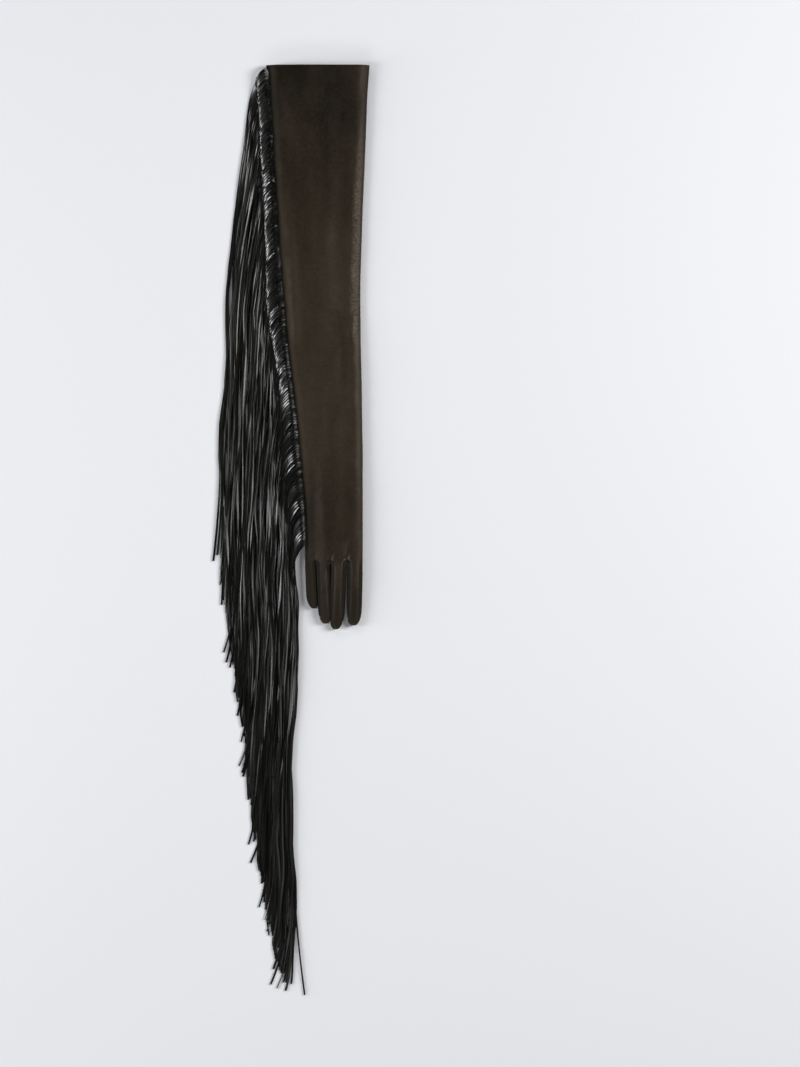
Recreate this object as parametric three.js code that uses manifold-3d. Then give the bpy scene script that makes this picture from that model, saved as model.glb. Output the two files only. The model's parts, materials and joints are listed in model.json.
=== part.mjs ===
// A long leather glove with a cut fringe down its outer seam: the right hand, lying flat with its back up.
// Millimetres. +X runs across the glove from the fringe to the thumb side, +Y from the fingertips to the open top
// edge, and +Z up from the surface that the glove lies on, which is z = 0.
import * as THREE from "three";
import { mergeVertices } from "three/addons/utils/BufferGeometryUtils.js";
import Module from "manifold-3d";

const wasm = await Module();
wasm.setup();

// Driving dimensions
const WALL = 1.3;
const SEAM_GAP = 0.3;
const GLOVE_TOP = 619;
const CROTCH_Y = -43;
const GLOVE_SECTION_SIDES = 24;

// The flattened sleeve and palm. left and right are the two side edges, underLeft and underRight the underside,
// overLeft and overRight the upper side, and valley is the depth of the long dent beside the right edge.
const GLOVE_ROWS = [
  { y: GLOVE_TOP, left: -31.9, right: 104.4, underLeft: 0, underRight: 0, overLeft: 16.5, overRight: 17.5, valley: 0.8 },
  { y: 596, left: -30.6, right: 102.4, underLeft: 0, underRight: 0, overLeft: 16, overRight: 16.6, valley: 1.2 },
  { y: 572, left: -29.3, right: 100.8, underLeft: 0, underRight: 0, overLeft: 15.4, overRight: 15.8, valley: 1.5 },
  { y: 521, left: -26.7, right: 99.1, underLeft: 0, underRight: 0, overLeft: 15.2, overRight: 15.6, valley: 1.7 },
  { y: 487, left: -25, right: 97.8, underLeft: 0, underRight: 0, overLeft: 15.8, overRight: 15.4, valley: 1.3 },
  { y: 436, left: -21.5, right: 95.4, underLeft: 0, underRight: 0, overLeft: 15.2, overRight: 16.2, valley: 1.9 },
  { y: 386, left: -18.2, right: 93.8, underLeft: 0, underRight: 0, overLeft: 15.4, overRight: 16, valley: 2.2 },
  { y: 352, left: -15.6, right: 92.4, underLeft: 0, underRight: 0, overLeft: 16.1, overRight: 15.7, valley: 1.5 },
  { y: 323, left: -13.2, right: 91.8, underLeft: 0, underRight: 0, overLeft: 15.3, overRight: 16, valley: 2.1 },
  { y: 292, left: -10.6, right: 92, underLeft: 0, underRight: 0, overLeft: 15.1, overRight: 15.3, valley: 1.6 },
  { y: 263, left: -8, right: 92.4, underLeft: 0, underRight: 0, overLeft: 15.8, overRight: 15.6, valley: 1.2 },
  { y: 230, left: -4.7, right: 92.8, underLeft: 0, underRight: 0, overLeft: 15.2, overRight: 16.1, valley: 1.6 },
  { y: 195, left: -0.4, right: 93.8, underLeft: 0, underRight: 0, overLeft: 15, overRight: 15.5, valley: 1.1 },
  { y: 162, left: 3.9, right: 94, underLeft: 0, underRight: 0, overLeft: 15, overRight: 15.8, valley: 0.9 },
  { y: 120, left: 8.1, right: 95.1, underLeft: 0, underRight: 0.4, overLeft: 14.8, overRight: 16, valley: 0.6 },
  { y: 90, left: 11, right: 95.1, underLeft: 0, underRight: 3.2, overLeft: 14.6, overRight: 16.8, valley: 0.4 },
  { y: 65, left: 13.2, right: 95.1, underLeft: 0.2, underRight: 5.5, overLeft: 14.4, overRight: 17.4, valley: 0.3 },
  { y: 32, left: 15.7, right: 95.1, underLeft: 0.6, underRight: 5.5, overLeft: 14.2, overRight: 17.6, valley: 0.4 },
  { y: -3, left: 17.5, right: 95.1, underLeft: 0.8, underRight: 5.5, overLeft: 14, overRight: 17.6, valley: 0.3 },
  { y: -28, left: 17.7, right: 95.1, underLeft: 0.9, underRight: 5.5, overLeft: 13.8, overRight: 17.4, valley: 0 },
  { y: CROTCH_Y, left: 17.7, right: 95, underLeft: 0.9, underRight: 5.4, overLeft: 13.4, overRight: 17, valley: 0 },
];
const ACROSS_POWER = 0.62;
const RISE_POWER = 0.82;
const UNDER_FILL = 1.3;
const VALLEY_PLACE = 0.5;
const VALLEY_WIDTH = 0.2;
const THUMB_RISE_START = -0.7;
const THUMB_RISE_WIDTH = 0.45;
const EDGE_HEIGHT = 0.45;
const OPEN_END_REACH = 4;

// The fingers: base and tip are the x of the centre line, lift is the underside's height at the base, and lean is
// how far the tip itself leans aside.
const FINGER_ROOT_Y = -24;
const FINGER_THICKNESS = 12;
const FINGER_TIP_LIFT = 0.4;
const FINGER_DROOP_START = 0.16;
const FINGER_DROOP_END = 0.95;
const FINGER_LEAN_START = 0.76;
const FINGER_SECTION_POWER = 0.78;
const FINGERTIP_START = 0.8;
const FINGERTIP_MIDDLE = 0.96;
const LEAST_HALF_SIZE = 0.6;
const FINGER_SECTION_SIDES = 14;
const FINGERS = [
  { name: "little", base: 25.4, tip: 27.2, width: 15, tipY: -103, lift: 1, lean: 2.4 },
  { name: "ring", base: 42.3, tip: 44.6, width: 18.4, tipY: -123, lift: 2.9, lean: 0 },
  { name: "middle", base: 62.9, tip: 60.6, width: 19.6, tipY: -130.3, lift: 5.6, lean: 0 },
  { name: "index", base: 84.6, tip: 83.4, width: 19.6, tipY: -125.4, lift: 5.6, lean: -0.8 },
];
const FINGER_ROWS = [
  { along: 0, wide: 1, thick: 1 },
  { along: 0.18, wide: 1, thick: 1 },
  { along: 0.42, wide: 0.99, thick: 1.02 },
  { along: 0.66, wide: 0.98, thick: 1.03 },
  { along: 0.82, wide: 0.93, thick: 1 },
  { along: 0.91, wide: 0.8, thick: 0.92 },
  { along: 0.965, wide: 0.56, thick: 0.74 },
  { along: 1, wide: 0.2, thick: 0.36 },
];

// The fourchettes: how far each side strip wraps on to its finger, and how it ends before the tip.
const FOURCHETTE_WRAP = 3.6;
const FOURCHETTE_ROOT_Y = -33;
const FOURCHETTE_TAPER = 26;
const FOURCHETTE_END = 9;
const FOURCHETTE_POINT = 0.6;
const FOURCHETTE_PEAK = 3;
const FOURCHETTE_LOW = -1;
const FOURCHETTE_HIGH = 24;

// The thumb, folded flat under the palm, and the hole that it is sewn to.
const THUMB_BASE = new THREE.Vector2(79.5, 60);
const THUMB_TIP = new THREE.Vector2(61, -38);
const THUMB_WIDTH = 27;
const THUMB_THICKNESS = 5.2;
const THUMB_WALL = 1.2;
const THUMB_SECTION_SIDES = 14;
const THUMB_HOLE = { x: 75.5, y: 36, halfWidth: 10, halfLength: 17, turn: -0.186 };
const THUMB_HOLE_SIDES = 20;
const THUMB_HOLE_LOW = 2;
const THUMB_HOLE_HIGH = 9;
const THUMB_OPENING_LOW = 3;
const THUMB_OPENING_INSET = 0.6;
const THUMB_LEAST_HALF_WIDTH = 0.8;
const THUMB_ROWS = [
  { along: 0, wide: 0.5 },
  { along: 0.06, wide: 0.82 },
  { along: 0.16, wide: 0.98 },
  { along: 0.42, wide: 1 },
  { along: 0.7, wide: 0.9 },
  { along: 0.88, wide: 0.76 },
  { along: 0.96, wide: 0.54 },
  { along: 1, wide: 0.2 },
];

// The fringe: a head band along the seam, and locks that curl off it and then hang side by side.
const LOCKS = 20;
const COLUMNS_PER_LOCK = 4;
const FRINGE_START_Y = 614;
const FRINGE_END_Y = -18.6;
const SHORTEST_END_Y = -40;
const LONGEST_END_Y = -619;
const HANG_DROP = 27;
const HANG_ROWS = 11;
const NOTCH = 34;
const END_STEP = 9;
const VALLEY_SHARE = 0.5;
const LOCK_SWAY = 0.8;
const FLICK = 8.4;
const FLICK_SHARE = 0.04;
const SWAY_ACROSS = 30;
const SWAY_ALONG = 0.021;
const FLICK_START = 0.75;
const END_STEP_TURN = 2.4;
const TIP_THICKNESS = 0.45;
const ROLL_TOP_Y = 593;
const LEAST_SEAM_SHARE = 0.001;
const MOST_ENDED_SHARE = 0.995;
const LEAST_SPREAD = 0.004;
const MERGE_DISTANCE = 1e-3;

// The curl that each strip makes on its way from the seam: out is a share of the roll's width.
const CURL_ROWS = [
  { out: 0, down: 0, over: 1.6, under: -1.6 },
  { out: 0.36, down: 2, over: 4.6, under: -0.2 },
  { out: 0.74, down: 8, over: 5.2, under: -0.4 },
  { out: 0.98, down: 18, over: 3, under: -4 },
];
const ROLL_LEFT = [
  { y: ROLL_TOP_Y, x: -47 },
  { y: 547, x: -43.2 },
  { y: 440, x: -39.2 },
  { y: 358, x: -35.2 },
  { y: 294, x: -33.5 },
  { y: 230, x: -24.6 },
  { y: 195, x: -18 },
  { y: 148, x: -13.4 },
  { y: 100, x: -11 },
  { y: 69, x: -9.6 },
  { y: 33, x: -6 },
  { y: 10, x: -2 },
  { y: -12, x: 1.8 },
  { y: -44, x: 4.6 },
  { y: -90, x: 6.2 },
  { y: -161, x: 7 },
  { y: -225, x: 4.7 },
  { y: -273, x: 1 },
  { y: -416, x: -0.5 },
  { y: -464, x: 4.4 },
  { y: -544, x: 4.4 },
  { y: -620, x: -1 },
];
const FRINGE_LEFT = [
  { y: 594, x: -55 },
  { y: 547, x: -61.8 },
  { y: 483, x: -69.8 },
  { y: 419, x: -77.8 },
  { y: 355, x: -84.5 },
  { y: 275, x: -88.4 },
  { y: 164, x: -93.8 },
  { y: 68, x: -96 },
  { y: 10, x: -97.2 },
  { y: SHORTEST_END_Y, x: -96 },
  { y: -70, x: -92.6 },
  { y: -100, x: -87.8 },
  { y: -145, x: -80.5 },
  { y: -209, x: -73 },
  { y: -273, x: -62 },
  { y: -368, x: -55 },
  { y: -432, x: -46 },
  { y: -496, x: -36 },
  { y: -560, x: -24 },
  { y: -608, x: -13 },
  { y: -620, x: -9 },
];
const PILE = [
  { y: 594, thick: 4.5 },
  { y: 440, thick: 6 },
  { y: 200, thick: 7.6 },
  { y: 0, thick: 8.4 },
  { y: -160, thick: 8 },
  { y: -360, thick: 6.6 },
  { y: -520, thick: 5 },
  { y: -620, thick: 3.6 },
];

const { lerp, clamp, smoothstep } = THREE.MathUtils;

// The value of a column at a height y, read from a table whose rows run from high y to low.
function valueAt(table, column, y) {
  if (y >= table[0].y) return table[0][column];
  for (let i = 1; i < table.length; i++) {
    const above = table[i - 1];
    const below = table[i];
    if (y >= below.y) return lerp(below[column], above[column], (y - below.y) / (above.y - below.y));
  }
  return table[table.length - 1][column];
}

// A closed skin through rings of points that run from low y to high y, each ring anticlockwise seen along +Y.
function loft(rings) {
  const sides = rings[0].length;
  const positions = [];
  const faces = [];
  rings.forEach((ring) => ring.forEach((point) => positions.push(point.x, point.y, point.z)));
  for (let i = 0; i + 1 < rings.length; i++) {
    for (let j = 0; j < sides; j++) {
      const near = i * sides + j;
      const nearNext = i * sides + ((j + 1) % sides);
      faces.push(near, near + sides, nearNext + sides, near, nearNext + sides, nearNext);
    }
  }
  [0, rings.length - 1].forEach((end) => {
    const centre = rings[end].reduce((sum, point) => sum.add(point), new THREE.Vector3()).divideScalar(sides);
    const centreIndex = positions.length / 3;
    positions.push(centre.x, centre.y, centre.z);
    for (let j = 0; j < sides; j++) {
      const first = end * sides + j;
      const second = end * sides + ((j + 1) % sides);
      if (end === 0) faces.push(centreIndex, first, second);
      else faces.push(centreIndex, second, first);
    }
  });
  const geometry = new THREE.BufferGeometry();
  geometry.setAttribute("position", new THREE.Float32BufferAttribute(positions, 3));
  geometry.setIndex(faces);
  return geometry;
}

function toSolid(geometry) {
  const bare = geometry.index ? geometry.toNonIndexed() : geometry.clone();
  bare.deleteAttribute("normal");
  bare.deleteAttribute("uv");
  const merged = mergeVertices(bare, MERGE_DISTANCE);
  const mesh = new wasm.Mesh({
    numProp: 3,
    vertProperties: merged.attributes.position.array,
    triVerts: new Uint32Array(merged.index.array),
  });
  return new wasm.Manifold(mesh);
}

function toGeometry(solid) {
  const mesh = solid.getMesh();
  const geometry = new THREE.BufferGeometry();
  geometry.setAttribute("position", new THREE.BufferAttribute(new Float32Array(mesh.vertProperties), 3));
  geometry.setIndex(new THREE.BufferAttribute(new Uint32Array(mesh.triVerts), 1));
  geometry.computeVertexNormals();
  return geometry;
}

function joined(solids) {
  return solids.reduce((whole, solid) => whole.add(solid));
}

function signedPower(value, power) {
  return Math.sign(value) * Math.abs(value) ** power;
}

// One flattened section of the sleeve or palm, set in by inset all round.
function gloveRing(row, inset) {
  const left = row.left + inset;
  const right = row.right - inset;
  const ring = [];
  for (let i = 0; i < GLOVE_SECTION_SIDES; i++) {
    const angle = Math.PI * 1.5 + (2 * Math.PI * i) / GLOVE_SECTION_SIDES;
    const across = signedPower(Math.cos(angle), ACROSS_POWER);
    const rise = Math.abs(Math.sin(angle)) ** RISE_POWER;
    const share = smoothstep(across, THUMB_RISE_START, THUMB_RISE_START + THUMB_RISE_WIDTH);
    const under = lerp(row.underLeft, row.underRight, share) + inset;
    const valley = row.valley * Math.exp(-(((across - VALLEY_PLACE) / VALLEY_WIDTH) ** 2));
    const over = lerp(row.overLeft, row.overRight, share) - valley - inset;
    const edge = lerp(under, over, EDGE_HEIGHT);
    const upper = Math.sin(angle) > 0;
    const z = upper ? lerp(edge, over, rise) : lerp(edge, under, Math.min(1, rise * UNDER_FILL));
    ring.push(new THREE.Vector3(lerp(left, right, (across + 1) / 2), row.y, z));
  }
  return ring;
}

// A finger's skin from inside the palm to its tip, set in by inset all round.
function fingerSkin(finger, inset) {
  const tipY = finger.tipY + inset;
  const length = FINGER_ROOT_Y - tipY;
  const rings = FINGER_ROWS.map((row) => {
    const y = FINGER_ROOT_Y - row.along * length;
    const lean = finger.lean * smoothstep(row.along, FINGER_LEAN_START, 1);
    const centreX = lerp(finger.base, finger.tip, row.along) + lean;
    const lift = lerp(finger.lift, FINGER_TIP_LIFT, smoothstep(row.along, FINGER_DROOP_START, FINGER_DROOP_END));
    const halfWidth = Math.max((finger.width * row.wide) / 2 - inset, LEAST_HALF_SIZE);
    const halfThick = Math.max((FINGER_THICKNESS * row.thick) / 2 - inset, LEAST_HALF_SIZE);
    const middle = lift + (FINGER_THICKNESS * (row.along > FINGERTIP_START ? FINGERTIP_MIDDLE : row.thick)) / 2;
    return roundRing(centreX, y, middle, halfWidth, halfThick, FINGER_SECTION_SIDES);
  });
  return loft(rings.reverse());
}

function roundRing(centreX, y, middle, halfWidth, halfThick, sides) {
  const ring = [];
  for (let i = 0; i < sides; i++) {
    const angle = Math.PI * 1.5 + (2 * Math.PI * (i + 0.5)) / sides;
    const x = centreX + halfWidth * signedPower(Math.cos(angle), FINGER_SECTION_POWER);
    const z = middle + halfThick * signedPower(Math.sin(angle), FINGER_SECTION_POWER);
    ring.push(new THREE.Vector3(x, y, z));
  }
  return ring;
}

// The sleeve, palm and fingers as one filled body, set in by inset; the inner one runs out past the top edge.
function gloveBody(inset) {
  const rows = GLOVE_ROWS.map((row) => ({ ...row }));
  rows[rows.length - 1].y += inset;
  if (inset > 0) rows.unshift({ ...rows[0], y: GLOVE_TOP + OPEN_END_REACH });
  const trunk = toSolid(loft(rows.map((row) => gloveRing(row, inset)).reverse()));
  const fingers = FINGERS.map((finger) => toSolid(fingerSkin(finger, inset)));
  return joined([trunk, ...fingers]);
}

// An upright block with the given outline, from z = low to z = high.
function uprightBlock(points, low, high) {
  const shape = new THREE.Shape(points);
  const geometry = new THREE.ExtrudeGeometry(shape, { depth: high - low, bevelEnabled: false });
  return toSolid(geometry.translate(0, 0, low));
}

function fingerEdge(finger, side, y) {
  const along = clamp((FINGER_ROOT_Y - y) / (FINGER_ROOT_Y - finger.tipY), 0, 1);
  return lerp(finger.base, finger.tip, along) + (side * finger.width) / 2;
}

// The outline, seen from above, of the forked strip between two fingers, grown or shrunk by margin.
function fourchetteOutline(leftFinger, rightFinger, margin) {
  const wrap = FOURCHETTE_WRAP + margin;
  const point = FOURCHETTE_POINT + margin;
  const leftTaperY = leftFinger.tipY + FOURCHETTE_TAPER;
  const rightTaperY = rightFinger.tipY + FOURCHETTE_TAPER;
  const leftEndY = leftFinger.tipY + FOURCHETTE_END - margin;
  const rightEndY = rightFinger.tipY + FOURCHETTE_END - margin;
  const rootY = FOURCHETTE_ROOT_Y + margin;
  const middle = (fingerEdge(leftFinger, 1, rootY) + fingerEdge(rightFinger, -1, rootY)) / 2;
  return [
    new THREE.Vector2(middle, rootY + FOURCHETTE_PEAK),
    new THREE.Vector2(fingerEdge(leftFinger, 1, rootY) - wrap, CROTCH_Y),
    new THREE.Vector2(fingerEdge(leftFinger, 1, leftTaperY) - wrap, leftTaperY),
    new THREE.Vector2(fingerEdge(leftFinger, 1, leftEndY) - point, leftEndY),
    new THREE.Vector2(fingerEdge(rightFinger, -1, rightEndY) + point, rightEndY),
    new THREE.Vector2(fingerEdge(rightFinger, -1, rightTaperY) + wrap, rightTaperY),
    new THREE.Vector2(fingerEdge(rightFinger, -1, rootY) + wrap, CROTCH_Y),
  ];
}

function thumbHoleBlock(margin, low, high) {
  const curve = new THREE.EllipseCurve(
    THUMB_HOLE.x,
    THUMB_HOLE.y,
    THUMB_HOLE.halfWidth + margin,
    THUMB_HOLE.halfLength + margin,
    0,
    2 * Math.PI,
    false,
    THUMB_HOLE.turn,
  );
  return uprightBlock(curve.getPoints(THUMB_HOLE_SIDES).slice(0, THUMB_HOLE_SIDES), low, high);
}

// The thumb's skin along its own slanted centre line, set in by inset all round.
function thumbSkin(inset) {
  const axis = new THREE.Vector2().subVectors(THUMB_BASE, THUMB_TIP);
  const length = axis.length() - 2 * inset;
  const rings = THUMB_ROWS.map((row) => {
    const halfWidth = Math.max((THUMB_WIDTH * row.wide) / 2 - inset, THUMB_LEAST_HALF_WIDTH);
    const halfThick = THUMB_THICKNESS / 2 - inset;
    return roundRing(0, length * (1 - row.along) + inset, THUMB_THICKNESS / 2, halfWidth, halfThick, THUMB_SECTION_SIDES);
  });
  const turn = Math.atan2(-axis.x, axis.y);
  return loft(rings.reverse())
    .rotateZ(turn)
    .translate(THUMB_TIP.x, THUMB_TIP.y, 0);
}

function edgeHeight(y) {
  return lerp(valueAt(GLOVE_ROWS, "underLeft", y), valueAt(GLOVE_ROWS, "overLeft", y), EDGE_HEIGHT);
}

// Where a strip of the fringe hangs at height y: place runs from 0 at the top of the seam to 1 at its end.
function hangingX(place, y) {
  const seamLength = FRINGE_START_Y - FRINGE_END_Y;
  const newest = clamp((FRINGE_START_Y - HANG_DROP - y) / seamLength, LEAST_SEAM_SHARE, 1);
  const oldest = clamp((SHORTEST_END_Y - y) / (SHORTEST_END_Y - LONGEST_END_Y), 0, MOST_ENDED_SHARE);
  const share = clamp((place - oldest) / Math.max(newest - oldest, LEAST_SPREAD), 0, 1);
  return lerp(valueAt(FRINGE_LEFT, "x", y), valueAt(ROLL_LEFT, "x", y), share);
}

// The upper and lower points of one strip line of the fringe. ridge is 1 on a lock's crest and 0 between locks.
function stripLine(place, ridge, endShift) {
  const seamY = lerp(FRINGE_START_Y, FRINGE_END_Y, place);
  const seamX = valueAt(GLOVE_ROWS, "left", seamY) - SEAM_GAP;
  const edge = edgeHeight(seamY);
  const rollWidth = seamX - valueAt(ROLL_LEFT, "x", Math.min(seamY, ROLL_TOP_Y));
  const full = lerp(VALLEY_SHARE, 1, ridge);
  const line = CURL_ROWS.map((row, index) => {
    const x = seamX - row.out * rollWidth;
    const y = seamY - row.down;
    const under = edge + row.under;
    const over = under + (row.over - row.under) * (index === 0 ? 1 : full);
    return { x, y, under, over };
  });
  const startY = seamY - HANG_DROP;
  const endY = lerp(SHORTEST_END_Y, LONGEST_END_Y, place) + (1 - ridge) * NOTCH + endShift;
  for (let i = 0; i < HANG_ROWS; i++) {
    const down = i / (HANG_ROWS - 1);
    const y = lerp(startY, Math.min(endY, startY), down);
    const sway = LOCK_SWAY * Math.sin(place * SWAY_ACROSS + y * SWAY_ALONG) * Math.sin(Math.PI * down);
    const flick = FLICK * clamp(1 - place / FLICK_SHARE, 0, 1) * smoothstep(down, FLICK_START, 1);
    const tip = i === HANG_ROWS - 1 ? TIP_THICKNESS : 1;
    const over = valueAt(PILE, "thick", y) * full * tip;
    line.push({ x: hangingX(place, y) + sway - flick, y, under: 0, over });
  }
  return line;
}

function fringeSolid() {
  const columns = LOCKS * COLUMNS_PER_LOCK;
  const lines = [];
  for (let c = 0; c <= columns; c++) {
    const inLock = (Math.PI * (c % COLUMNS_PER_LOCK)) / COLUMNS_PER_LOCK;
    const lock = Math.floor(c / COLUMNS_PER_LOCK);
    const outermost = c === 0 || c >= columns - COLUMNS_PER_LOCK / 2;
    const ridge = outermost ? 1 : Math.sin(inLock);
    const endShift = outermost ? 0 : END_STEP * Math.sin(lock * END_STEP_TURN) ** 2 * ridge;
    lines.push(stripLine(c / columns, ridge, endShift));
  }
  return gridSolid(lines);
}

// A closed body between the upper and lower points of lines that lie side by side.
function gridSolid(lines) {
  const rows = lines[0].length;
  const positions = [];
  lines.forEach((line) => line.forEach((p) => positions.push(p.x, p.y, p.over)));
  lines.forEach((line) => line.forEach((p) => positions.push(p.x, p.y, p.under)));
  const lower = lines.length * rows;
  const faces = [];
  const quad = (a, b, c, d) => faces.push(a, b, c, a, c, d);
  for (let i = 0; i + 1 < lines.length; i++) {
    for (let j = 0; j + 1 < rows; j++) {
      const a = i * rows + j;
      quad(a, a + 1, a + rows + 1, a + rows);
      quad(lower + a, lower + a + rows, lower + a + rows + 1, lower + a + 1);
    }
    const head = i * rows;
    const tail = head + rows - 1;
    quad(head, head + rows, lower + head + rows, lower + head);
    quad(tail, lower + tail, lower + tail + rows, tail + rows);
  }
  for (let j = 0; j + 1 < rows; j++) {
    const last = (lines.length - 1) * rows + j;
    quad(j, lower + j, lower + j + 1, j + 1);
    quad(last, last + 1, lower + last + 1, lower + last);
  }
  const geometry = new THREE.BufferGeometry();
  geometry.setAttribute("position", new THREE.Float32BufferAttribute(positions, 3));
  geometry.setIndex(faces);
  return toSolid(geometry);
}

const gloveLeather = new THREE.MeshStandardMaterial({ color: 0x2a251e, roughness: 0.42, metalness: 0 });
const fringeLeather = new THREE.MeshStandardMaterial({ color: 0x1f1e19, roughness: 0.36, metalness: 0 });

function piece(name, solid, material) {
  const mesh = new THREE.Mesh(toGeometry(solid), material);
  mesh.name = name;
  return mesh;
}

const glove = new THREE.Group();
const walls = gloveBody(0).subtract(gloveBody(WALL));
let shell = walls.subtract(thumbHoleBlock(0, THUMB_HOLE_LOW, THUMB_HOLE_HIGH));

FINGERS.slice(1).forEach((finger, index) => {
  const neighbour = FINGERS[index];
  const opening = uprightBlock(fourchetteOutline(neighbour, finger, SEAM_GAP), FOURCHETTE_LOW, FOURCHETTE_HIGH);
  const strip = uprightBlock(fourchetteOutline(neighbour, finger, 0), FOURCHETTE_LOW, FOURCHETTE_HIGH);
  glove.add(piece(`fourchette_${neighbour.name}_${finger.name}`, walls.intersect(strip), gloveLeather));
  shell = shell.subtract(opening);
});
glove.add(piece("glove_shell", shell, gloveLeather));

const thumb = toSolid(thumbSkin(0))
  .subtract(toSolid(thumbSkin(THUMB_WALL)))
  .subtract(thumbHoleBlock(-THUMB_OPENING_INSET, THUMB_OPENING_LOW, THUMB_HOLE_HIGH));
glove.add(piece("thumb", thumb, gloveLeather));
glove.add(piece("fringe", fringeSolid(), fringeLeather));

// The origin is the middle of the glove's box on the surface that it lies on.
const box = new THREE.Box3().setFromObject(glove);
glove.position.set(-(box.min.x + box.max.x) / 2, -(box.min.y + box.max.y) / 2, -box.min.z);

export default glove;
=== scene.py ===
"""A long soft leather glove with a full-length cut fringe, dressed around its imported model.

The glove lies flat with its back up, its fingers towards -Y and its open top edge towards +Y. Tables and
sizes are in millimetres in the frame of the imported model, and every mesh is made in metres.
"""

import json
import logging
import math
from dataclasses import dataclass, field
from enum import Enum
from typing import Callable, Optional, Sequence, Union

import bmesh
import bpy
import numpy as np
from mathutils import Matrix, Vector
from mathutils.bvhtree import BVHTree

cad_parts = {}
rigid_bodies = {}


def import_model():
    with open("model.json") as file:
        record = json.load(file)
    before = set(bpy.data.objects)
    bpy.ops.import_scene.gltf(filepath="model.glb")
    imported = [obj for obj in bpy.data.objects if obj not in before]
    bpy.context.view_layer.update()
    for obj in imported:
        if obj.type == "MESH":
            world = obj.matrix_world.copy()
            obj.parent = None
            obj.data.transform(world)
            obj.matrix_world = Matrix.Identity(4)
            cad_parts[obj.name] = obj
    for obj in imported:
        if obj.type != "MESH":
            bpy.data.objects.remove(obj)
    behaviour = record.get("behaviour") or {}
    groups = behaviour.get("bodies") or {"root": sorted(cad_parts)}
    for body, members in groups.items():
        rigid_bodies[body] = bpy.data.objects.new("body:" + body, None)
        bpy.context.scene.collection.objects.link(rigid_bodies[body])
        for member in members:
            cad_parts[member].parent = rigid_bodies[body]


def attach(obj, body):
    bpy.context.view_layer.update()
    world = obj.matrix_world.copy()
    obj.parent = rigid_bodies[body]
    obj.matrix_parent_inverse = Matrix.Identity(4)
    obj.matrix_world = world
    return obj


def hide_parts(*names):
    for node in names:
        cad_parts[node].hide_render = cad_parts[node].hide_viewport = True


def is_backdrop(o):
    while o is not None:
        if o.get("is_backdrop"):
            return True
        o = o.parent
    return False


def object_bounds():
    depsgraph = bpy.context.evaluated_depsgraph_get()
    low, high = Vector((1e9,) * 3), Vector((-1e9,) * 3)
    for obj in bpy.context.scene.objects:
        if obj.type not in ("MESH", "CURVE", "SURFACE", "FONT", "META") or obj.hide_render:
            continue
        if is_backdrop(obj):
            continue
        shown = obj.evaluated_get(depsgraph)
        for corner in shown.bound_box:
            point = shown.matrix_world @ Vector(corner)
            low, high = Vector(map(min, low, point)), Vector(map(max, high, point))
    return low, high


LOG = logging.getLogger("long_glove")
MM = 0.001
FULL_TURN = 2 * math.pi


class Slot(Enum):
    """The record's material slots."""

    GLOVE = "glove_leather"
    FRINGE = "fringe_leather"


@dataclass(frozen=True)
class SleeveRow:
    """One flattened section of the sleeve or palm, in millimetres."""

    y: float
    left: float
    right: float
    under_left: float
    under_right: float
    over_left: float
    over_right: float
    valley: float


@dataclass(frozen=True)
class Finger:
    """One finger, in millimetres: its root, middle line, start height, and how far its tip leans."""

    name: str
    root_left: float
    root_right: float
    base_x: float
    tip_x: float
    width: float
    tip_y: float
    lift: float
    lean: float


@dataclass(frozen=True)
class FingerRow:
    """How wide and thick a finger or the thumb is at a share of its length, beside its full size."""

    along: float
    wide: float
    thick: float


@dataclass(frozen=True)
class Mark:
    """A value at a height y, both in millimetres."""

    y: float
    value: float


def curve(*rows: tuple[float, float]) -> tuple[Mark, ...]:
    """Makes a table of marks from pairs of y and value, which run from high y to low."""
    return tuple(Mark(y, value) for y, value in rows)


SLEEVE_ROWS = tuple(
    SleeveRow(*row)
    for row in (
        (619, -31.9, 104.4, 0, 0, 16.5, 17.5, 0.8),
        (596, -30.6, 102.4, 0, 0, 16, 16.6, 1.2),
        (572, -29.3, 100.8, 0, 0, 15.4, 15.8, 1.5),
        (521, -26.7, 99.1, 0, 0, 15.2, 15.6, 1.7),
        (487, -25, 97.8, 0, 0, 15.8, 15.4, 1.3),
        (436, -21.5, 95.4, 0, 0, 15.2, 16.2, 1.9),
        (386, -18.2, 93.8, 0, 0, 15.4, 16, 2.2),
        (352, -15.6, 92.4, 0, 0, 16.1, 15.7, 1.5),
        (323, -13.2, 91.8, 0, 0, 15.3, 16, 2.1),
        (292, -10.6, 92, 0, 0, 15.1, 15.3, 1.6),
        (263, -8, 92.4, 0, 0, 15.8, 15.6, 1.2),
        (230, -4.7, 92.8, 0, 0, 15.2, 16.1, 1.6),
        (195, -0.4, 93.8, 0, 0, 15, 15.5, 1.1),
        (162, 3.9, 94, 0, 0, 15, 15.8, 0.9),
        (120, 8.1, 95.1, 0, 0.4, 14.8, 16, 0.6),
        (90, 11, 95.1, 0, 3.2, 14.6, 16.8, 0.4),
        (65, 13.2, 95.1, 0.2, 5.5, 14.4, 17.4, 0.3),
        (32, 15.7, 95.1, 0.6, 5.5, 14.2, 17.6, 0.4),
        (-3, 17.5, 95.1, 0.8, 5.5, 14, 17.6, 0.3),
        (-28, 17.7, 95.1, 0.9, 5.5, 13.8, 17.4, 0),
        (-43, 17.7, 95, 0.9, 5.4, 13.4, 17, 0),
    )
)

FINGERS = (
    Finger("little", 17.7, 30.6, 25, 27.6, 14.8, -103.4, 1, 2.4),
    Finger("ring", 30.6, 51.9, 42.1, 44.8, 18.8, -123.4, 2.9, 0.6),
    Finger("middle", 51.9, 73.9, 62.9, 60.2, 20.2, -130.8, 5.6, -1.4),
    Finger("index", 73.9, 95, 84.7, 83.2, 20.4, -125.9, 5.6, -0.8),
)

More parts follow.
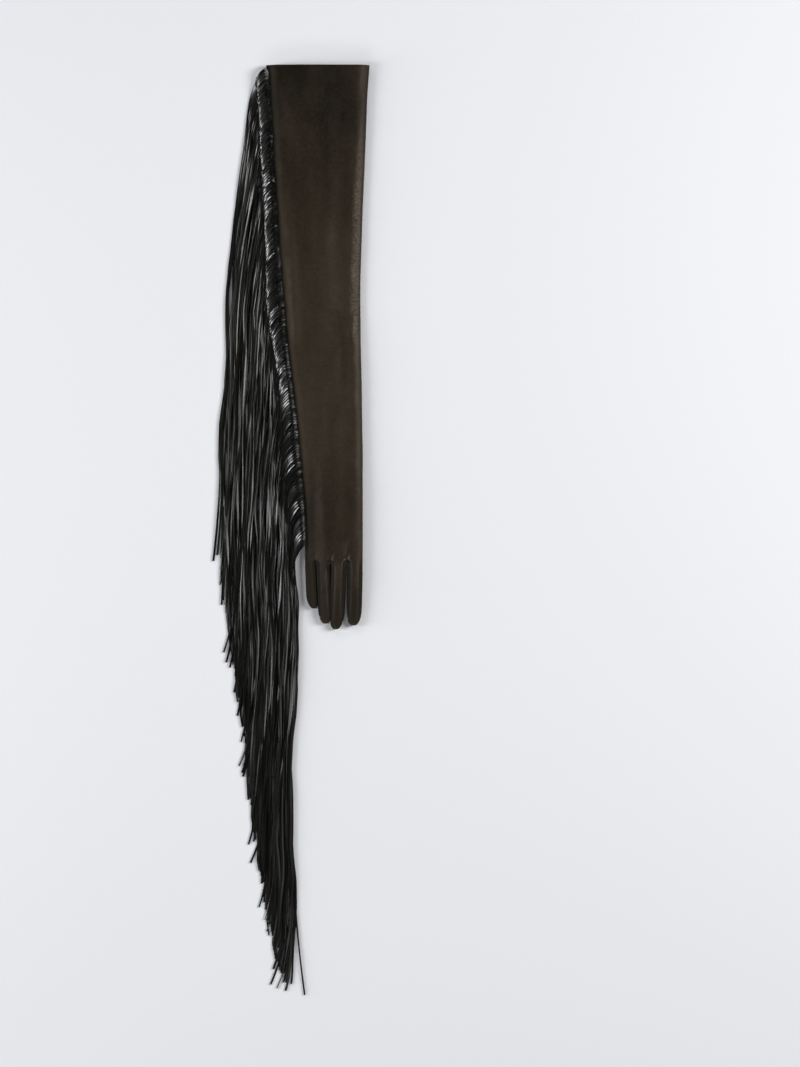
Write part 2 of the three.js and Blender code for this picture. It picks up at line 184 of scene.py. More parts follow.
FINGER_ROWS = tuple(
    FingerRow(*row)
    for row in (
        (0.05, 0.98, 0.99), (0.14, 1, 1), (0.26, 1, 1.01), (0.38, 1, 1.01), (0.5, 1, 1.02),
        (0.62, 0.995, 1.02), (0.73, 0.98, 1.01), (0.82, 0.94, 0.99), (0.89, 0.85, 0.94),
        (0.945, 0.7, 0.84), (0.985, 0.46, 0.66), (1, 0.24, 0.42),
    )
)

THUMB_ROWS = tuple(
    FingerRow(*row)
    for row in (
        (0, 0.3, 0.5), (0.025, 0.62, 0.8), (0.08, 0.9, 0.97), (0.18, 1, 1), (0.34, 1, 1),
        (0.48, 0.96, 1), (0.6, 0.88, 1), (0.72, 0.83, 1), (0.83, 0.8, 0.98), (0.91, 0.72, 0.92),
        (0.965, 0.55, 0.8), (1, 0.28, 0.5),
    )
)

# The curl's left border, where the strips turn down, and below the seam the hanging mass's right border.
ROLL_LEFT = curve(
    (593, -47), (547, -43.2), (440, -39.2), (358, -35.2), (294, -33.5), (230, -24.6), (195, -18),
    (148, -13.4), (100, -11), (69, -9.6), (33, -6), (10, -2), (-12, 1.8), (-44, 4.6), (-90, 6.2),
    (-161, 7), (-225, 4.7), (-273, 1), (-416, -0.5), (-464, 4.4), (-544, 4.4), (-620, -1),
)

# The outer border of the hanging strips.
FRINGE_LEFT = curve(
    (594, -55), (547, -61.8), (483, -69.8), (419, -77.8), (355, -84.5), (275, -88.4), (164, -93.8),
    (68, -96), (10, -97.2), (-40, -96), (-70, -92.6), (-100, -87.8), (-145, -80.5), (-209, -73),
    (-273, -62), (-368, -55), (-432, -46), (-496, -36), (-560, -24), (-608, -13), (-620, -9),
)

# How far the strips are turned about their length in the curl, in radians: on edge at a quarter turn.
CURL_LEAN = curve(
    (617, -1.93), (450, -1.99), (250, -2.03), (200, -1.98), (150, -1.77), (-20, -1.69),
)

# How glossy the strips are at a height, beside the curl's full gloss.
GLOSS = curve(
    (617, 0.2), (240, 0.16), (150, 0.06), (40, 0), (-230, 0), (-340, 0.15), (-450, 0.45), (-618, 0.6),
)

# How high the strips are piled.
PILE = curve(
    (594, 4.5), (440, 6), (200, 7.6), (0, 8.4), (-160, 8), (-360, 6.6), (-520, 5), (-620, 3.6),
)

# How wide the slope is by which the sleeve's far side falls to its edge.
RIGHT_SLOPE = curve(
    (619, 3), (590, 4), (530, 9), (470, 19), (440, 27), (330, 34), (300, 36), (272, 19), (240, 6),
    (190, 4), (-43, 4),
)

# How wide the painted sheen is along the far side: a light border put in the colour.
PAINTED_SHEEN_WIDTH = curve(
    (619, 2), (560, 3), (534, 5), (487, 9), (451, 16), (415, 23), (368, 28), (332, 36), (300, 33),
    (275, 16), (245, 7), (190, 5), (-43, 5),
)

# How far the leather is lightened at each height, from 0 to 1: partly from rubbing, and partly a painted
# soft sheen over the middle and lower sleeve.
WEAR_AND_SHEEN = curve(
    (619, 0.1), (545, 0.14), (507, 0.32), (374, 0.56), (250, 0.72), (174, 0.76), (100, 0.6), (41, 0.38),
    (-30, 0.27), (-60, 0.18), (-131, 0.18),
)


@dataclass(frozen=True)
class LooseEnd:
    """A strip that strays: its place along the seam, from 0 to 1, its end, and how far up it strays."""

    place: float
    end_x: float
    end_y: float
    reach: float


LOOSE_ENDS = tuple(
    LooseEnd(*row)
    for row in (
        (0.004, -104.4, -39.9, 120), (0.012, -99, -32, 90), (0.03, -95.5, -71.8, 100),
        (0.045, -93.4, -98.4, 110), (0.236, -87, -175, 90), (0.248, -82.3, -182, 80),
        (0.306, -76.7, -215, 90), (0.36, -72.3, -246, 90), (0.42, -67.3, -281, 80),
        (0.477, -70.1, -313, 80), (0.493, -66.1, -322, 80), (0.5, -64.8, -327, 80),
        (0.2126, -90.6, -161.6, 80), (0.556, -57.8, -358, 70), (0.653, -50.5, -413.8, 80),
        (0.66, -57.5, -417.6, 100), (0.703, -54.8, -442, 60), (0.712, -44.6, -447.5, 80),
        (0.781, -39, -487, 70), (0.806, -43.4, -500.9, 90), (0.836, -37, -518, 70),
        (0.862, -33.4, -533, 70), (0.951, -24.5, -583.6, 80), (0.978, -27.9, -604, 110),
        (0.993, -20, -609, 90), (0.985, 17.3, -618, 170),
    )
)

TOP_Y = SLEEVE_ROWS[0].y
ROOT_Y = SLEEVE_ROWS[-1].y
# How many columns of the cage a finger spans.
FINGER_SPAN = 4

Number = Union[float, np.ndarray]
Layer = bmesh.types.BMLayerItem


def lerp(start: Number, end: Number, share: Number) -> Number:
    """The value at a share of the way from start to end."""
    return start + (end - start) * share


def smooth(value: Number, low: float, high: float) -> Number:
    """A soft step from 0 at low to 1 at high."""
    share = np.clip((value - low) / (high - low), 0.0, 1.0)
    return share * share * (3 - 2 * share)


def bell(distance: Number, width: float) -> Number:
    """A soft hump: 1 at no distance, and hardly anything past two widths."""
    return np.exp(-((distance / width) ** 2))


def mark_at(marks: Sequence[Mark], y: Number) -> Number:
    """Reads a table of marks, whose rows run from high y to low, at a height or at many."""
    rows = marks[::-1]
    return np.interp(y, [mark.y for mark in rows], [mark.value for mark in rows])


def sleeve_at(column: str, y: Number) -> Number:
    """Reads a column of the sleeve's table at a height or at many."""
    rows = SLEEVE_ROWS[::-1]
    return np.interp(y, [row.y for row in rows], [getattr(row, column) for row in rows])


class Value:
    """A shader socket that Python's operators act on, each one adding a Math node."""

    def __init__(self, graph: "Graph", socket: bpy.types.NodeSocket) -> None:
        """Wraps a socket of a graph."""
        self.graph = graph
        self.socket = socket

    def __add__(self, other: "Operand") -> "Value":
        """The sum."""
        return self.graph.math("ADD", self, other)

    def __sub__(self, other: "Operand") -> "Value":
        """The difference."""
        return self.graph.math("SUBTRACT", self, other)

    def __rsub__(self, other: "Operand") -> "Value":
        """The difference with the socket on the right."""
        return self.graph.math("SUBTRACT", other, self)

    def __mul__(self, other: "Operand") -> "Value":
        """The product."""
        return self.graph.math("MULTIPLY", self, other)

    def __truediv__(self, other: "Operand") -> "Value":
        """The quotient."""
        return self.graph.math("DIVIDE", self, other)

    def __pow__(self, other: "Operand") -> "Value":
        """The power."""
        return self.graph.math("POWER", self, other)

    def clamped(self) -> "Value":
        """The value held between 0 and 1."""
        return self.graph.math("MULTIPLY", self, 1.0, clamp=True)

    __radd__ = __add__
    __rmul__ = __mul__


Operand = Union[Value, float]


class Graph:
    """A material's nodes, built around one Principled shader."""

    def __init__(self, name: str) -> None:
        """Makes an empty material with a Principled shader and an output.

        Args:
            name: the material's name.
        """
        self.material = bpy.data.materials.new(name)
        self.material.use_nodes = True
        self.tree = self.material.node_tree
        self.tree.nodes.clear()
        self.shader = self.tree.nodes.new("ShaderNodeBsdfPrincipled")
        output = self.tree.nodes.new("ShaderNodeOutputMaterial")
        self.tree.links.new(self.shader.outputs["BSDF"], output.inputs["Surface"])

    def put(self, socket: bpy.types.NodeSocket, value: Union[Value, float, Sequence[float]]) -> None:
        """Links a value to a socket, or sets a constant on it.

        Args:
            socket: the input.
            value: what it gets.
        """
        if isinstance(value, Value):
            self.tree.links.new(value.socket, socket)
        else:
            socket.default_value = value

    def node(
        self,
        kind: str,
        settings: Optional[dict] = None,
        inputs: Optional[dict] = None,
        output: Union[int, str] = 0,
    ) -> Value:
        """Adds a node.

        Args:
            kind: the node's type.
            settings: its properties.
            inputs: values or links for its sockets, by name or number.
            output: the socket that is handed back.

        Returns:
            The node's output.
        """
        made = self.tree.nodes.new(kind)
        for name, value in (settings or {}).items():
            setattr(made, name, value)
        for name, value in (inputs or {}).items():
            self.put(made.inputs[name], value)
        return Value(self, made.outputs[output])

    def math(self, operation: str, first: Operand, second: Operand, clamp: bool = False) -> Value:
        """Adds a Math node on two operands."""
        settings = {"operation": operation, "use_clamp": clamp}
        return self.node("ShaderNodeMath", settings, {0: first, 1: second})

    def mix(self, factor: Operand, first: Sequence[float] | Value, second: Sequence[float] | Value) -> Value:
        """Mixes two colours by a factor."""
        inputs = {0: factor, 6: self.colour(first), 7: self.colour(second)}
        return self.node("ShaderNodeMix", {"data_type": "RGBA"}, inputs, output=2)

    @staticmethod
    def colour(value: Sequence[float] | Value) -> Sequence[float] | Value:
        """A colour constant with its alpha, or a linked colour as it is."""
        return value if isinstance(value, Value) else (*value, 1.0)

    def noise(self, place: Value, scale: float, detail: float = 2.0, roughness: float = 0.5) -> Value:
        """Noise in a place's coordinates, from 0 to 1."""
        inputs = {"Vector": place, "Scale": scale, "Detail": detail, "Roughness": roughness}
        return self.node("ShaderNodeTexNoise", None, inputs)

    def streaks(self, place: Value, scale: Sequence[float], detail: float, roughness: float) -> Value:
        """Noise whose scale differs along the axes, from 0 to 1."""
        stretched = self.node("ShaderNodeMapping", None, {"Vector": place, "Scale": scale})
        return self.noise(stretched, 1.0, detail, roughness)

    def place(self) -> Value:
        """The place on the object, in its own coordinates."""
        return self.node("ShaderNodeTexCoord", output="Object")

    def attribute(self, name: str) -> Value:
        """A number stored on the mesh."""
        return self.node("ShaderNodeAttribute", {"attribute_name": name}, None, output="Fac")

    def bump(self, height: Value, distance: float, strength: float, below: Optional[Value] = None) -> Value:
        """Adds a bump.

        Args:
            height: the relief.
            distance: how high it stands.
            strength: how much of it shows.
            below: a bump that it lies over, if there is one.

        Returns:
            The bumped normal.
        """
        under = {} if below is None else {"Normal": below}
        inputs = {"Height": height, "Distance": distance, "Strength": strength, **under}
        return self.node("ShaderNodeBump", None, inputs)

    def dress(self, **sockets: Union[Value, float, Sequence[float]]) -> bpy.types.Material:
        """Sets or links the shader's sockets, whose names have _ for a space.

        Args:
            sockets: values or links by the socket's name.

        Returns:
            The finished material.
        """
        for name, value in sockets.items():
            self.put(self.shader.inputs[name.replace("_", " ")], value)
        return self.material


@dataclass(frozen=True)
class NappaFinish:
    """Satin dark brown nappa: fine in the grain, with clouds of sheen and creases at the fold."""

    deep: tuple[float, float, float] = (0.0052, 0.0041, 0.0022)
    warm: tuple[float, float, float] = (0.0380, 0.0285, 0.0190)
    worn_and_painted_light: tuple[float, float, float] = (0.056, 0.045, 0.034)
    sunk: tuple[float, float, float] = (0.0030, 0.0022, 0.0014)
    roughness: float = 0.40
    specular: float = 0.34
    tint: tuple[float, float, float, float] = (1.0, 0.84, 0.68, 1.0)
    hem_y: float = 0.586
    hem_width: float = 0.0007
    grain_cells: float = 1300.0
    pore_scale: float = 4200.0

    def material(self, name: str) -> bpy.types.Material:
        """The finish as a material that reads the mesh's attributes for creases, seams, lighter tone and
        dullness, which also paint sheen and shade into its colour.

        Args:
            name: the material's name.

        Returns:
            The material.
        """
        graph = Graph(name)
        place = graph.place()
        cloud = graph.noise(place, 9.0, 3.0, 0.55)
        patch = graph.streaks(place, (26.0, 9.0, 26.0), 4.0, 0.6)
        fleck = graph.noise(place, 240.0, 3.0, 0.6)
        crease = graph.attribute("crease")
        seam = graph.attribute("seam")
        dull = graph.attribute("dull")
        clouds = (cloud - 0.5) * 0.6 + (patch - 0.5) * 0.8 + (fleck - 0.5) * 0.7
        # The tone from the mesh holds painted sheen and painted shade besides rubbing; the matt mask darkens
        # it a little more as painted shade.
        tone = (graph.attribute("wear") + clouds - dull * 0.12).clamped()
        colour = graph.mix(tone, self.deep, self.warm)
        # Crowded creases take a lighter colour, partly from rubbing and partly painting the sheen along the
        # far side.
        colour = graph.mix((crease * 0.14).clamped(), colour, self.worn_and_painted_light)
        # Seam edges darken to a near-black colour: painted shade in the seam grooves.
        colour = graph.mix((seam * 0.85).clamped(), colour, self.sunk)
        cells = graph.node(
            "ShaderNodeTexVoronoi",
            {"feature": "DISTANCE_TO_EDGE"},
            {"Vector": place, "Scale": self.grain_cells, "Randomness": 1.0},
        )
        pores = graph.noise(place, self.pore_scale, 2.0, 0.5)
        wrinkles = graph.streaks(place, (70.0, 330.0, 70.0), 3.0, 0.62)
        softness = graph.streaks(place, (42.0, 24.0, 42.0), 3.0, 0.5)
        height = graph.node("ShaderNodeSeparateXYZ", None, {"Vector": place}, output="Y")
        hem = 1.0 - ((height - self.hem_y) / self.hem_width) ** 2.0
        hem_bump = graph.bump(hem.clamped(), -0.0002, 0.6)
        soft_bump = graph.bump(softness, 0.0016, 0.6, hem_bump)
        crease_bump = graph.bump(wrinkles * crease, 0.0013, 0.9, soft_bump)
        grain = (cells * 3.0).clamped() * 0.7 + pores * 0.3
        normal = graph.bump(grain, 0.00005, 0.8, crease_bump)
        shine = (patch - 0.5) * 0.16 + (cloud - 0.5) * 0.10 - crease * 0.05
        roughness = self.roughness + shine + dull * 0.46
        return graph.dress(
            Base_Color=colour,
            Roughness=roughness,
            Specular_IOR_Level=self.specular,
            Specular_Tint=self.tint,
            Normal=normal,
        )


@dataclass(frozen=True)
class FringeFinish:
    """Polished near-black strips whose tone and gloss differ from one strip to the next."""

    black: tuple[float, float, float] = (0.0017, 0.0016, 0.0012)
    olive: tuple[float, float, float] = (0.0130, 0.0122, 0.0092)
    flesh: tuple[float, float, float] = (0.36, 0.31, 0.22)
    roughness: float = 0.24
    specular: float = 0.36
    coat_roughness: float = 0.17

    def material(self, name: str) -> bpy.types.Material:
        """The finish as a material that reads the mesh's shade, flesh and polish attributes.

        Args:
            name: the material's name.

        Returns:
            The material.
        """
        graph = Graph(name)
        place = graph.place()
        shade = graph.attribute("shade")
        flesh = graph.attribute("flesh")
        mottle = graph.streaks(place, (500.0, 60.0, 500.0), 3.0, 0.6)
        tone = (shade * 0.85 + mottle * 0.4 - 0.18).clamped()
        colour = graph.mix(tone, self.black, self.olive)
        colour = graph.mix(flesh, colour, self.flesh)
        grain = graph.noise(place, 1900.0, 3.0, 0.6)
        ripple = graph.streaks(place, (150.0, 45.0, 150.0), 2.0, 0.5)
        bend = graph.bump(ripple, 0.0006, 0.4)
        normal = graph.bump(grain, 0.00004, 0.7, bend)
        roughness = self.roughness + shade * 0.17 + (mottle - 0.5) * 0.10 + flesh * 0.45
        return graph.dress(
            Base_Color=colour,
            Roughness=roughness,
            Specular_IOR_Level=self.specular,
            Coat_Weight=graph.attribute("polish"),
            Coat_Roughness=self.coat_roughness,
            Normal=normal,
        )


@dataclass(frozen=True)
class ThreadFinish:
    """Dark waxed thread with a fine ply."""

    dark: tuple[float, float, float] = (0.010, 0.008, 0.006)
    light: tuple[float, float, float] = (0.042, 0.034, 0.026)

    def material(self, name: str) -> bpy.types.Material:
        """The finish as a material.

        Args:
            name: the material's name.

        Returns:
            The material.
        """
        graph = Graph(name)
        place = graph.place()
        ply = graph.streaks(place, (2600.0, 900.0, 2600.0), 2.0, 0.5)
        colour = graph.mix(ply, self.dark, self.light)
        normal = graph.bump(ply, 0.00008, 0.8)
        return graph.dress(Base_Color=colour, Roughness=0.5 + ply * 0.15, Normal=normal)


@dataclass(frozen=True)
class FleshFinish:
    """The brown, suede-like inside of the nappa."""

    deep: tuple[float, float, float] = (0.045, 0.032, 0.022)
    light: tuple[float, float, float] = (0.105, 0.078, 0.055)

    def material(self, name: str) -> bpy.types.Material:
        """The finish as a material.

        Args:
            name: the material's name.

        Returns:
            The material.
        """
        graph = Graph(name)
        place = graph.place()
        nap = graph.noise(place, 700.0, 4.0, 0.65)
        cloud = graph.noise(place, 40.0, 3.0, 0.5)
        colour = graph.mix((nap * 0.6 + cloud * 0.5 - 0.05).clamped(), self.deep, self.light)
        normal = graph.bump(nap, 0.00015, 0.7)
        return graph.dress(Base_Color=colour, Roughness=0.86 + nap * 0.08, Normal=normal)


@dataclass(frozen=True)
class FloorFinish:
    """A plain pale cool surface."""

    tint: tuple[float, float, float] = (0.885, 0.896, 0.93)

    def material(self, name: str) -> bpy.types.Material:
        """The finish as a material.

        Args:
            name: the material's name.

        Returns:
            The material.
        """
        graph = Graph(name)
        place = graph.place()
        tooth = graph.noise(place, 900.0, 2.0, 0.5)
        colour = (*self.tint, 1.0)
        return graph.dress(Base_Color=colour, Roughness=0.75 + tooth * 0.05, Specular_IOR_Level=0.2)


def leave_edit() -> None:
    """Goes to object mode, with nothing selected."""
    if bpy.context.mode != "OBJECT":
        bpy.ops.object.mode_set(mode="OBJECT")
    bpy.ops.object.select_all(action="DESELECT")


def only(piece: bpy.types.Object) -> bpy.types.Object:
    """Selects one object and makes it active.

    Args:
        piece: the object.

    Returns:
        The same object.
    """
    leave_edit()
    piece.select_set(True)
    bpy.context.view_layer.objects.active = piece
    return piece


def apply_modifier(piece: bpy.types.Object, kind: str, **settings: object) -> None:
    """Adds a modifier with its settings and applies it.

    Args:
        piece: the object.
        kind: the modifier's type.
        settings: its properties.
    """
    only(piece)
    modifier = piece.modifiers.new(kind.lower(), kind)
    for name, value in settings.items():
        setattr(modifier, name, value)
    bpy.ops.object.modifier_apply(modifier=modifier.name)


def subdivide_smoothly(piece: bpy.types.Object, levels: int) -> None:
    """Applies a subdivision surface."""
    apply_modifier(piece, "SUBSURF", levels=levels, render_levels=levels)


def read_rows(items: bpy.types.bpy_prop_collection, key: str) -> np.ndarray:
    """Reads one vector of each item of a mesh, as rows.

    Args:
        items: the mesh's vertices or normals.
        key: the vector's name.

    Returns:
        Rows of x, y and z.
    """
    values = np.empty(len(items) * 3)
    items.foreach_get(key, values)
    return values.reshape(-1, 3)


def places(piece: bpy.types.Object) -> np.ndarray:
    """A mesh's vertices as rows of x, y and z, in metres."""
    return read_rows(piece.data.vertices, "co")


def normals(piece: bpy.types.Object) -> np.ndarray:
    """A mesh's vertex normals as rows."""
    return read_rows(piece.data.vertex_normals, "vector")


def name_active(name: str) -> bpy.types.Object:
    """Names the active object and its mesh.

    Args:
        name: the piece's name.

    Returns:
        The object.
    """
    piece = bpy.context.active_object
    piece.name = name
    piece.data.name = name
    return piece


def set_places(piece: bpy.types.Object, points: np.ndarray) -> None:
    """Moves a mesh's vertices."""
    piece.data.vertices.foreach_set("co", points.astype(np.float32).ravel())
    piece.data.update()


def store(piece: bpy.types.Object, name: str, values: np.ndarray) -> None:
    """Stores a number for each vertex as an attribute."""
    attribute = piece.data.attributes.new(name, "FLOAT", "POINT")
    attribute.data.foreach_set("value", values.astype(np.float32))


def mesh_object(name: str, points: np.ndarray, faces: list[list[int]]) -> bpy.types.Object:
    """Makes an object from an array of points in metres and a list of faces.

    Args:
        name: the object's name.
        points: the vertices' places.
        faces: each face's vertices.

    Returns:
        The linked object.
    """
    mesh = bpy.data.meshes.new(name)
    mesh.from_pydata(points.reshape(-1, 3).tolist(), [], faces)
    piece = bpy.data.objects.new(name, mesh)
    bpy.context.scene.collection.objects.link(piece)
    return piece


def finish_piece(
    piece: bpy.types.Object, slot: Slot, *nodes: str, crisp: Optional[float] = None
) -> bpy.types.Object:
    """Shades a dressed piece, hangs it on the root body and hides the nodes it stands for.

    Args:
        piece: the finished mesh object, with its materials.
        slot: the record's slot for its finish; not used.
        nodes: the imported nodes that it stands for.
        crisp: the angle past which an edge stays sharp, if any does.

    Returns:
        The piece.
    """
    only(piece)
    if crisp is None:
        bpy.ops.object.shade_smooth()
    else:
        bpy.ops.object.shade_smooth_by_angle(angle=crisp)
    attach(piece, "root")
    if nodes:
        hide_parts(*nodes)
    piece.data.calc_loop_triangles()
    LOG.info("%s: %d triangles", piece.name, len(piece.data.loop_triangles))
    return piece


class Level(Enum):
    """How high a lane of the glove's cage runs, as a share of half a finger's thickness."""

    OVER = 1.0
    HIGH = 0.36
    EDGE = 0.0
    LOW = -0.36
    UNDER = -1.0


@dataclass(frozen=True)
class Lane:
    """One line of the cage's vertices that runs the length of the glove."""

    column: int
    level: Level


@dataclass
class Ripples:
    """A smooth random relief from -1 to 1, made of waves in many directions."""

    seed: int
    shortest: float
    longest: float
    tilt: float = 1.0
    count: int = 14

    def at(self, x: np.ndarray, y: np.ndarray) -> np.ndarray:
        """The relief at places in millimetres; a small tilt leaves only waves whose crests run along X.

        Args:
            x: the places across.
            y: the places along.

        Returns:
            The relief's height at each place.
        """
        chance = np.random.default_rng(self.seed)
        total = np.zeros_like(x)
        for _ in range(self.count):
            length = math.exp(chance.uniform(math.log(self.shortest), math.log(self.longest)))
            angle = math.pi / 2 + (chance.uniform(0, math.pi) - math.pi / 2) * self.tilt
            phase = chance.uniform(0, FULL_TURN)
            total += np.sin((x * math.cos(angle) + y * math.sin(angle)) * FULL_TURN / length + phase)
        return total / math.sqrt(self.count / 2) / 2


@dataclass(frozen=True)
class Fold:
    """A soft fold in the back of the glove along a line, raised, or sunk where its height is negative."""

    start_x: float
    start_y: float
    end_x: float
    end_y: float
    height: float
    width: float

    def at(self, x: np.ndarray, y: np.ndarray) -> np.ndarray:
        """The fold's height at places in millimetres.

        Args:
            x: the places across.
            y: the places along.

        Returns:
            The fold's height at each place.
        """
        run_x = self.end_x - self.start_x
        run_y = self.end_y - self.start_y
        length = math.hypot(run_x, run_y)
        along = ((x - self.start_x) * run_x + (y - self.start_y) * run_y) / length
        beyond = np.maximum(np.maximum(-along, along - length), 0)
        aside = ((x - self.start_x) * run_y - (y - self.start_y) * run_x) / length
        return self.height * np.exp(-((aside / self.width) ** 2) - (beyond / (1.6 * self.width)) ** 2)


FOLDS = tuple(
    Fold(*row)
    for row in (
        (80.5, 412, 92.4, 413, 0.55, 1.9), (82, 354, 91, 355, 0.4, 2.2),
        (68.5, 306, 85.8, 318, 0.5, 3.4), (83, 283, 80.5, 263, 0.5, 2.8), (74, 227, 90, 228, 0.5, 2.6),
        (73.8, 216, 91, 219.5, -0.6, 1.9), (83, 64, 92, 65, -0.5, 1.8), (80, 52, 87, 53, 0.4, 2.2),
        (-0.7, 400, 6, 267, 0.9, 5.5), (44.6, -47.9, 55.2, -39.9, 0.8, 1.9),
        (68.5, -31, 72.5, -15, 0.7, 3.0), (61.8, -39, 72.5, -36, -0.9, 2.0),
        (82, -75.8, 91, -75.8, -0.4, 1.4), (82, -82, 91, -81.5, -0.35, 1.4),
        (23, -42, 30, -36, -0.6, 1.8), (60.6, -49, 62.4, -92, 0.5, 3.4), (86.5, -48, 87, -76, 0.6, 3.8),
        (41, -50, 43, -74, 0.3, 2.6),
    )
)

# Painted sheens: soft light patches in the colour where the leather over the fingers and the hand bulges.
PAINTED_SHEENS = tuple(
    Fold(*row)
    for row in (
        (61.4, -47, 61.8, -70, 0.32, 2.6), (88.4, -50, 88.2, -72, 0.36, 3.8),
        (70.6, -22, 70.8, -33, 0.32, 4.2), (92, -5, 92, -40, 0.25, 2.2), (44, -55, 44.4, -68, 0.16, 3.0),
        (46.6, -84, 46.8, -92, 0.16, 2.6),
    )
)


@dataclass
class GloveShell:
    """The trank: sleeve, palm, back and four fingers in one skin, worked from a ring at the top edge."""

    wall: float = 1.2
    ring_step: float = 13.6
    hand_step: float = 7.4
    hand_y: float = 60.0
    seam_inset: float = 2.7
    edge_step: float = 1.0
    palm_start: float = 78.0
    palm_end: float = -24.0
    crotch_rise: float = 4.5
    crotch_dip: float = 2.2
    finger_thickness: float = 12.0
    tip_lift: float = 0.4
    seam_share: float = 0.62
    fourchette_rows: int = 9
    smoothing: int = 2
    hem_y: float = 586.0
    seam_depth: float = 1.1
    rounding: float = 0.2
    edge_share: float = 0.45
    slope_fall: float = 0.172
    columns: int = 16
    lanes: list[Lane] = field(default_factory=list)
    crotches: tuple[tuple[float, float], ...] = ((29.9, -42.0), (51.9, -42.0), (73.8, -41.0))
    dents: Ripples = field(default_factory=lambda: Ripples(seed=3, shortest=34, longest=120))
    cross_folds: Ripples = field(default_factory=lambda: Ripples(seed=8, shortest=14, longest=40, tilt=0.35))
    crowding: Ripples = field(default_factory=lambda: Ripples(seed=5, shortest=3.6, longest=8, tilt=0.3))
    finger_columns: tuple[float, ...] = (0.0, 0.19, 0.5, 0.81, 1.0)
    knuckles: tuple[tuple[float, float], ...] = ((0.34, 0.20), (0.44, 0.26), (0.52, 0.2))
    knuckle_width: float = 0.018
    sleeve_dent: float = 0.34
    hand_dent: float = 0.16
    palm_dent: float = 0.12
    cross_height: float = 0.16
    crowd_height: float = 0.24

    def __post_init__(self) -> None:
        """Lists the lanes: over the back from left to right, and back underneath."""
        inner = range(1, self.columns)
        self.lanes = [Lane(0, Level.EDGE), Lane(0, Level.HIGH)]
        self.lanes += [Lane(column, Level.OVER) for column in inner]
        self.lanes += [Lane(self.columns, level) for level in (Level.HIGH, Level.EDGE, Level.LOW)]
        self.lanes += [Lane(column, Level.UNDER) for column in reversed(inner)]
        self.lanes.append(Lane(0, Level.LOW))

    def column_x(self, column: int, y: float) -> float:
        """Where a column runs: evenly across the sleeve, and gathered to the fingers over the palm.

        Args:
            column: the column's number.
            y: the height.

        Returns:
            The column's x.
        """
        left = float(sleeve_at("left", y))
        right = float(sleeve_at("right", y))
        if column in (0, self.columns):
            return left if column == 0 else right
        inner_left = left + self.seam_inset
        inner_right = right - self.seam_inset
        even = lerp(inner_left, inner_right, (column - 1) / (self.columns - 2))
        number = min(column // FINGER_SPAN, len(FINGERS) - 1)
        share = self.finger_columns[column - FINGER_SPAN * number]
        gathered = lerp(FINGERS[number].root_left, FINGERS[number].root_right, share)
        return lerp(even, gathered, 1 - float(smooth(y, self.palm_end, self.palm_start)))

    def section(self, x: float, y: float, upper: bool) -> float:
        """The height of the skin at a place across the sleeve or palm.

        Args:
            x: the place across.
            y: the place along.
            upper: whether the back is meant, not the palm.

        Returns:
            The height in millimetres.
        """
        left = float(sleeve_at("left", y))
        right = float(sleeve_at("right", y))
        across = float(np.clip(2 * (x - left) / (right - left) - 1, -1, 1))
        rise = math.sqrt(max(0.0, 1 - abs(across) ** (2 / self.rounding))) ** 0.9
        share = float(smooth(across, -0.7, -0.25))
        under = lerp(float(sleeve_at("under_left", y)), float(sleeve_at("under_right", y)), share)
        valley = float(sleeve_at("valley", y)) * math.exp(-(((across - 0.5) / 0.2) ** 2))
        over = lerp(float(sleeve_at("over_left", y)), float(sleeve_at("over_right", y)), share) - valley
        edge = lerp(under, over, self.edge_share)
        return lerp(edge, over, rise) if upper else lerp(edge, under, min(1.0, rise * 1.3))

    def trunk_point(self, lane: Lane, y: float) -> Vector:
        """Where a lane passes the ring at height y.

        Args:
            lane: the lane.
            y: the ring's height.

        Returns:
            The place, in metres.
        """
        x = self.column_x(lane.column, y)
        if lane.level in (Level.HIGH, Level.LOW):
            x += self.edge_step if lane.column == 0 else -self.edge_step
        z = self.section(x, y, lane.level in (Level.OVER, Level.HIGH))
        crotch = 0 < lane.column < self.columns and lane.column % FINGER_SPAN == 0
        at_crotch = float(smooth(-y, 20.0, -ROOT_Y)) if crotch else 0.0
        dip = self.crotch_dip * at_crotch
        z += dip if lane.level is Level.UNDER else -dip
        return Vector((x, y + self.crotch_rise * at_crotch, z)) * MM

    def finger_point(self, finger: Finger, number: int, lane: Lane, row: FingerRow) -> Vector:
        """Where a lane passes a finger's ring.

        Args:
            finger: the finger.
            number: its number.
            lane: the lane.
            row: the ring.

        Returns:
            The place, in metres.
        """
        y = lerp(ROOT_Y, finger.tip_y, row.along)
        centre = lerp(finger.base_x, finger.tip_x, row.along)
        centre += finger.lean * float(smooth(row.along, 0.76, 1.0))
        lift = lerp(finger.lift, self.tip_lift, float(smooth(row.along, 0.04, 0.94)))
        half_wide = finger.width * row.wide / 2
        half_thick = self.finger_thickness * row.thick / 2
        middle = lift + self.finger_thickness * max(row.thick, 0.9) / 2
        side = (-1, -self.seam_share, 0, self.seam_share, 1)[lane.column - FINGER_SPAN * number]
        taper = float(smooth(row.along, 0.55, 0.92)) * 0.16
        side = side if abs(side) in (0, 1) else math.copysign(abs(side) + taper, side)
        height = lane.level.value
        if abs(side) == 1 and abs(height) == 1:
            side *= 0.9
            height *= 0.72
        elif side == 0:
            height *= 1.04
        return Vector((centre + half_wide * side, y, middle + half_thick * height)) * MM

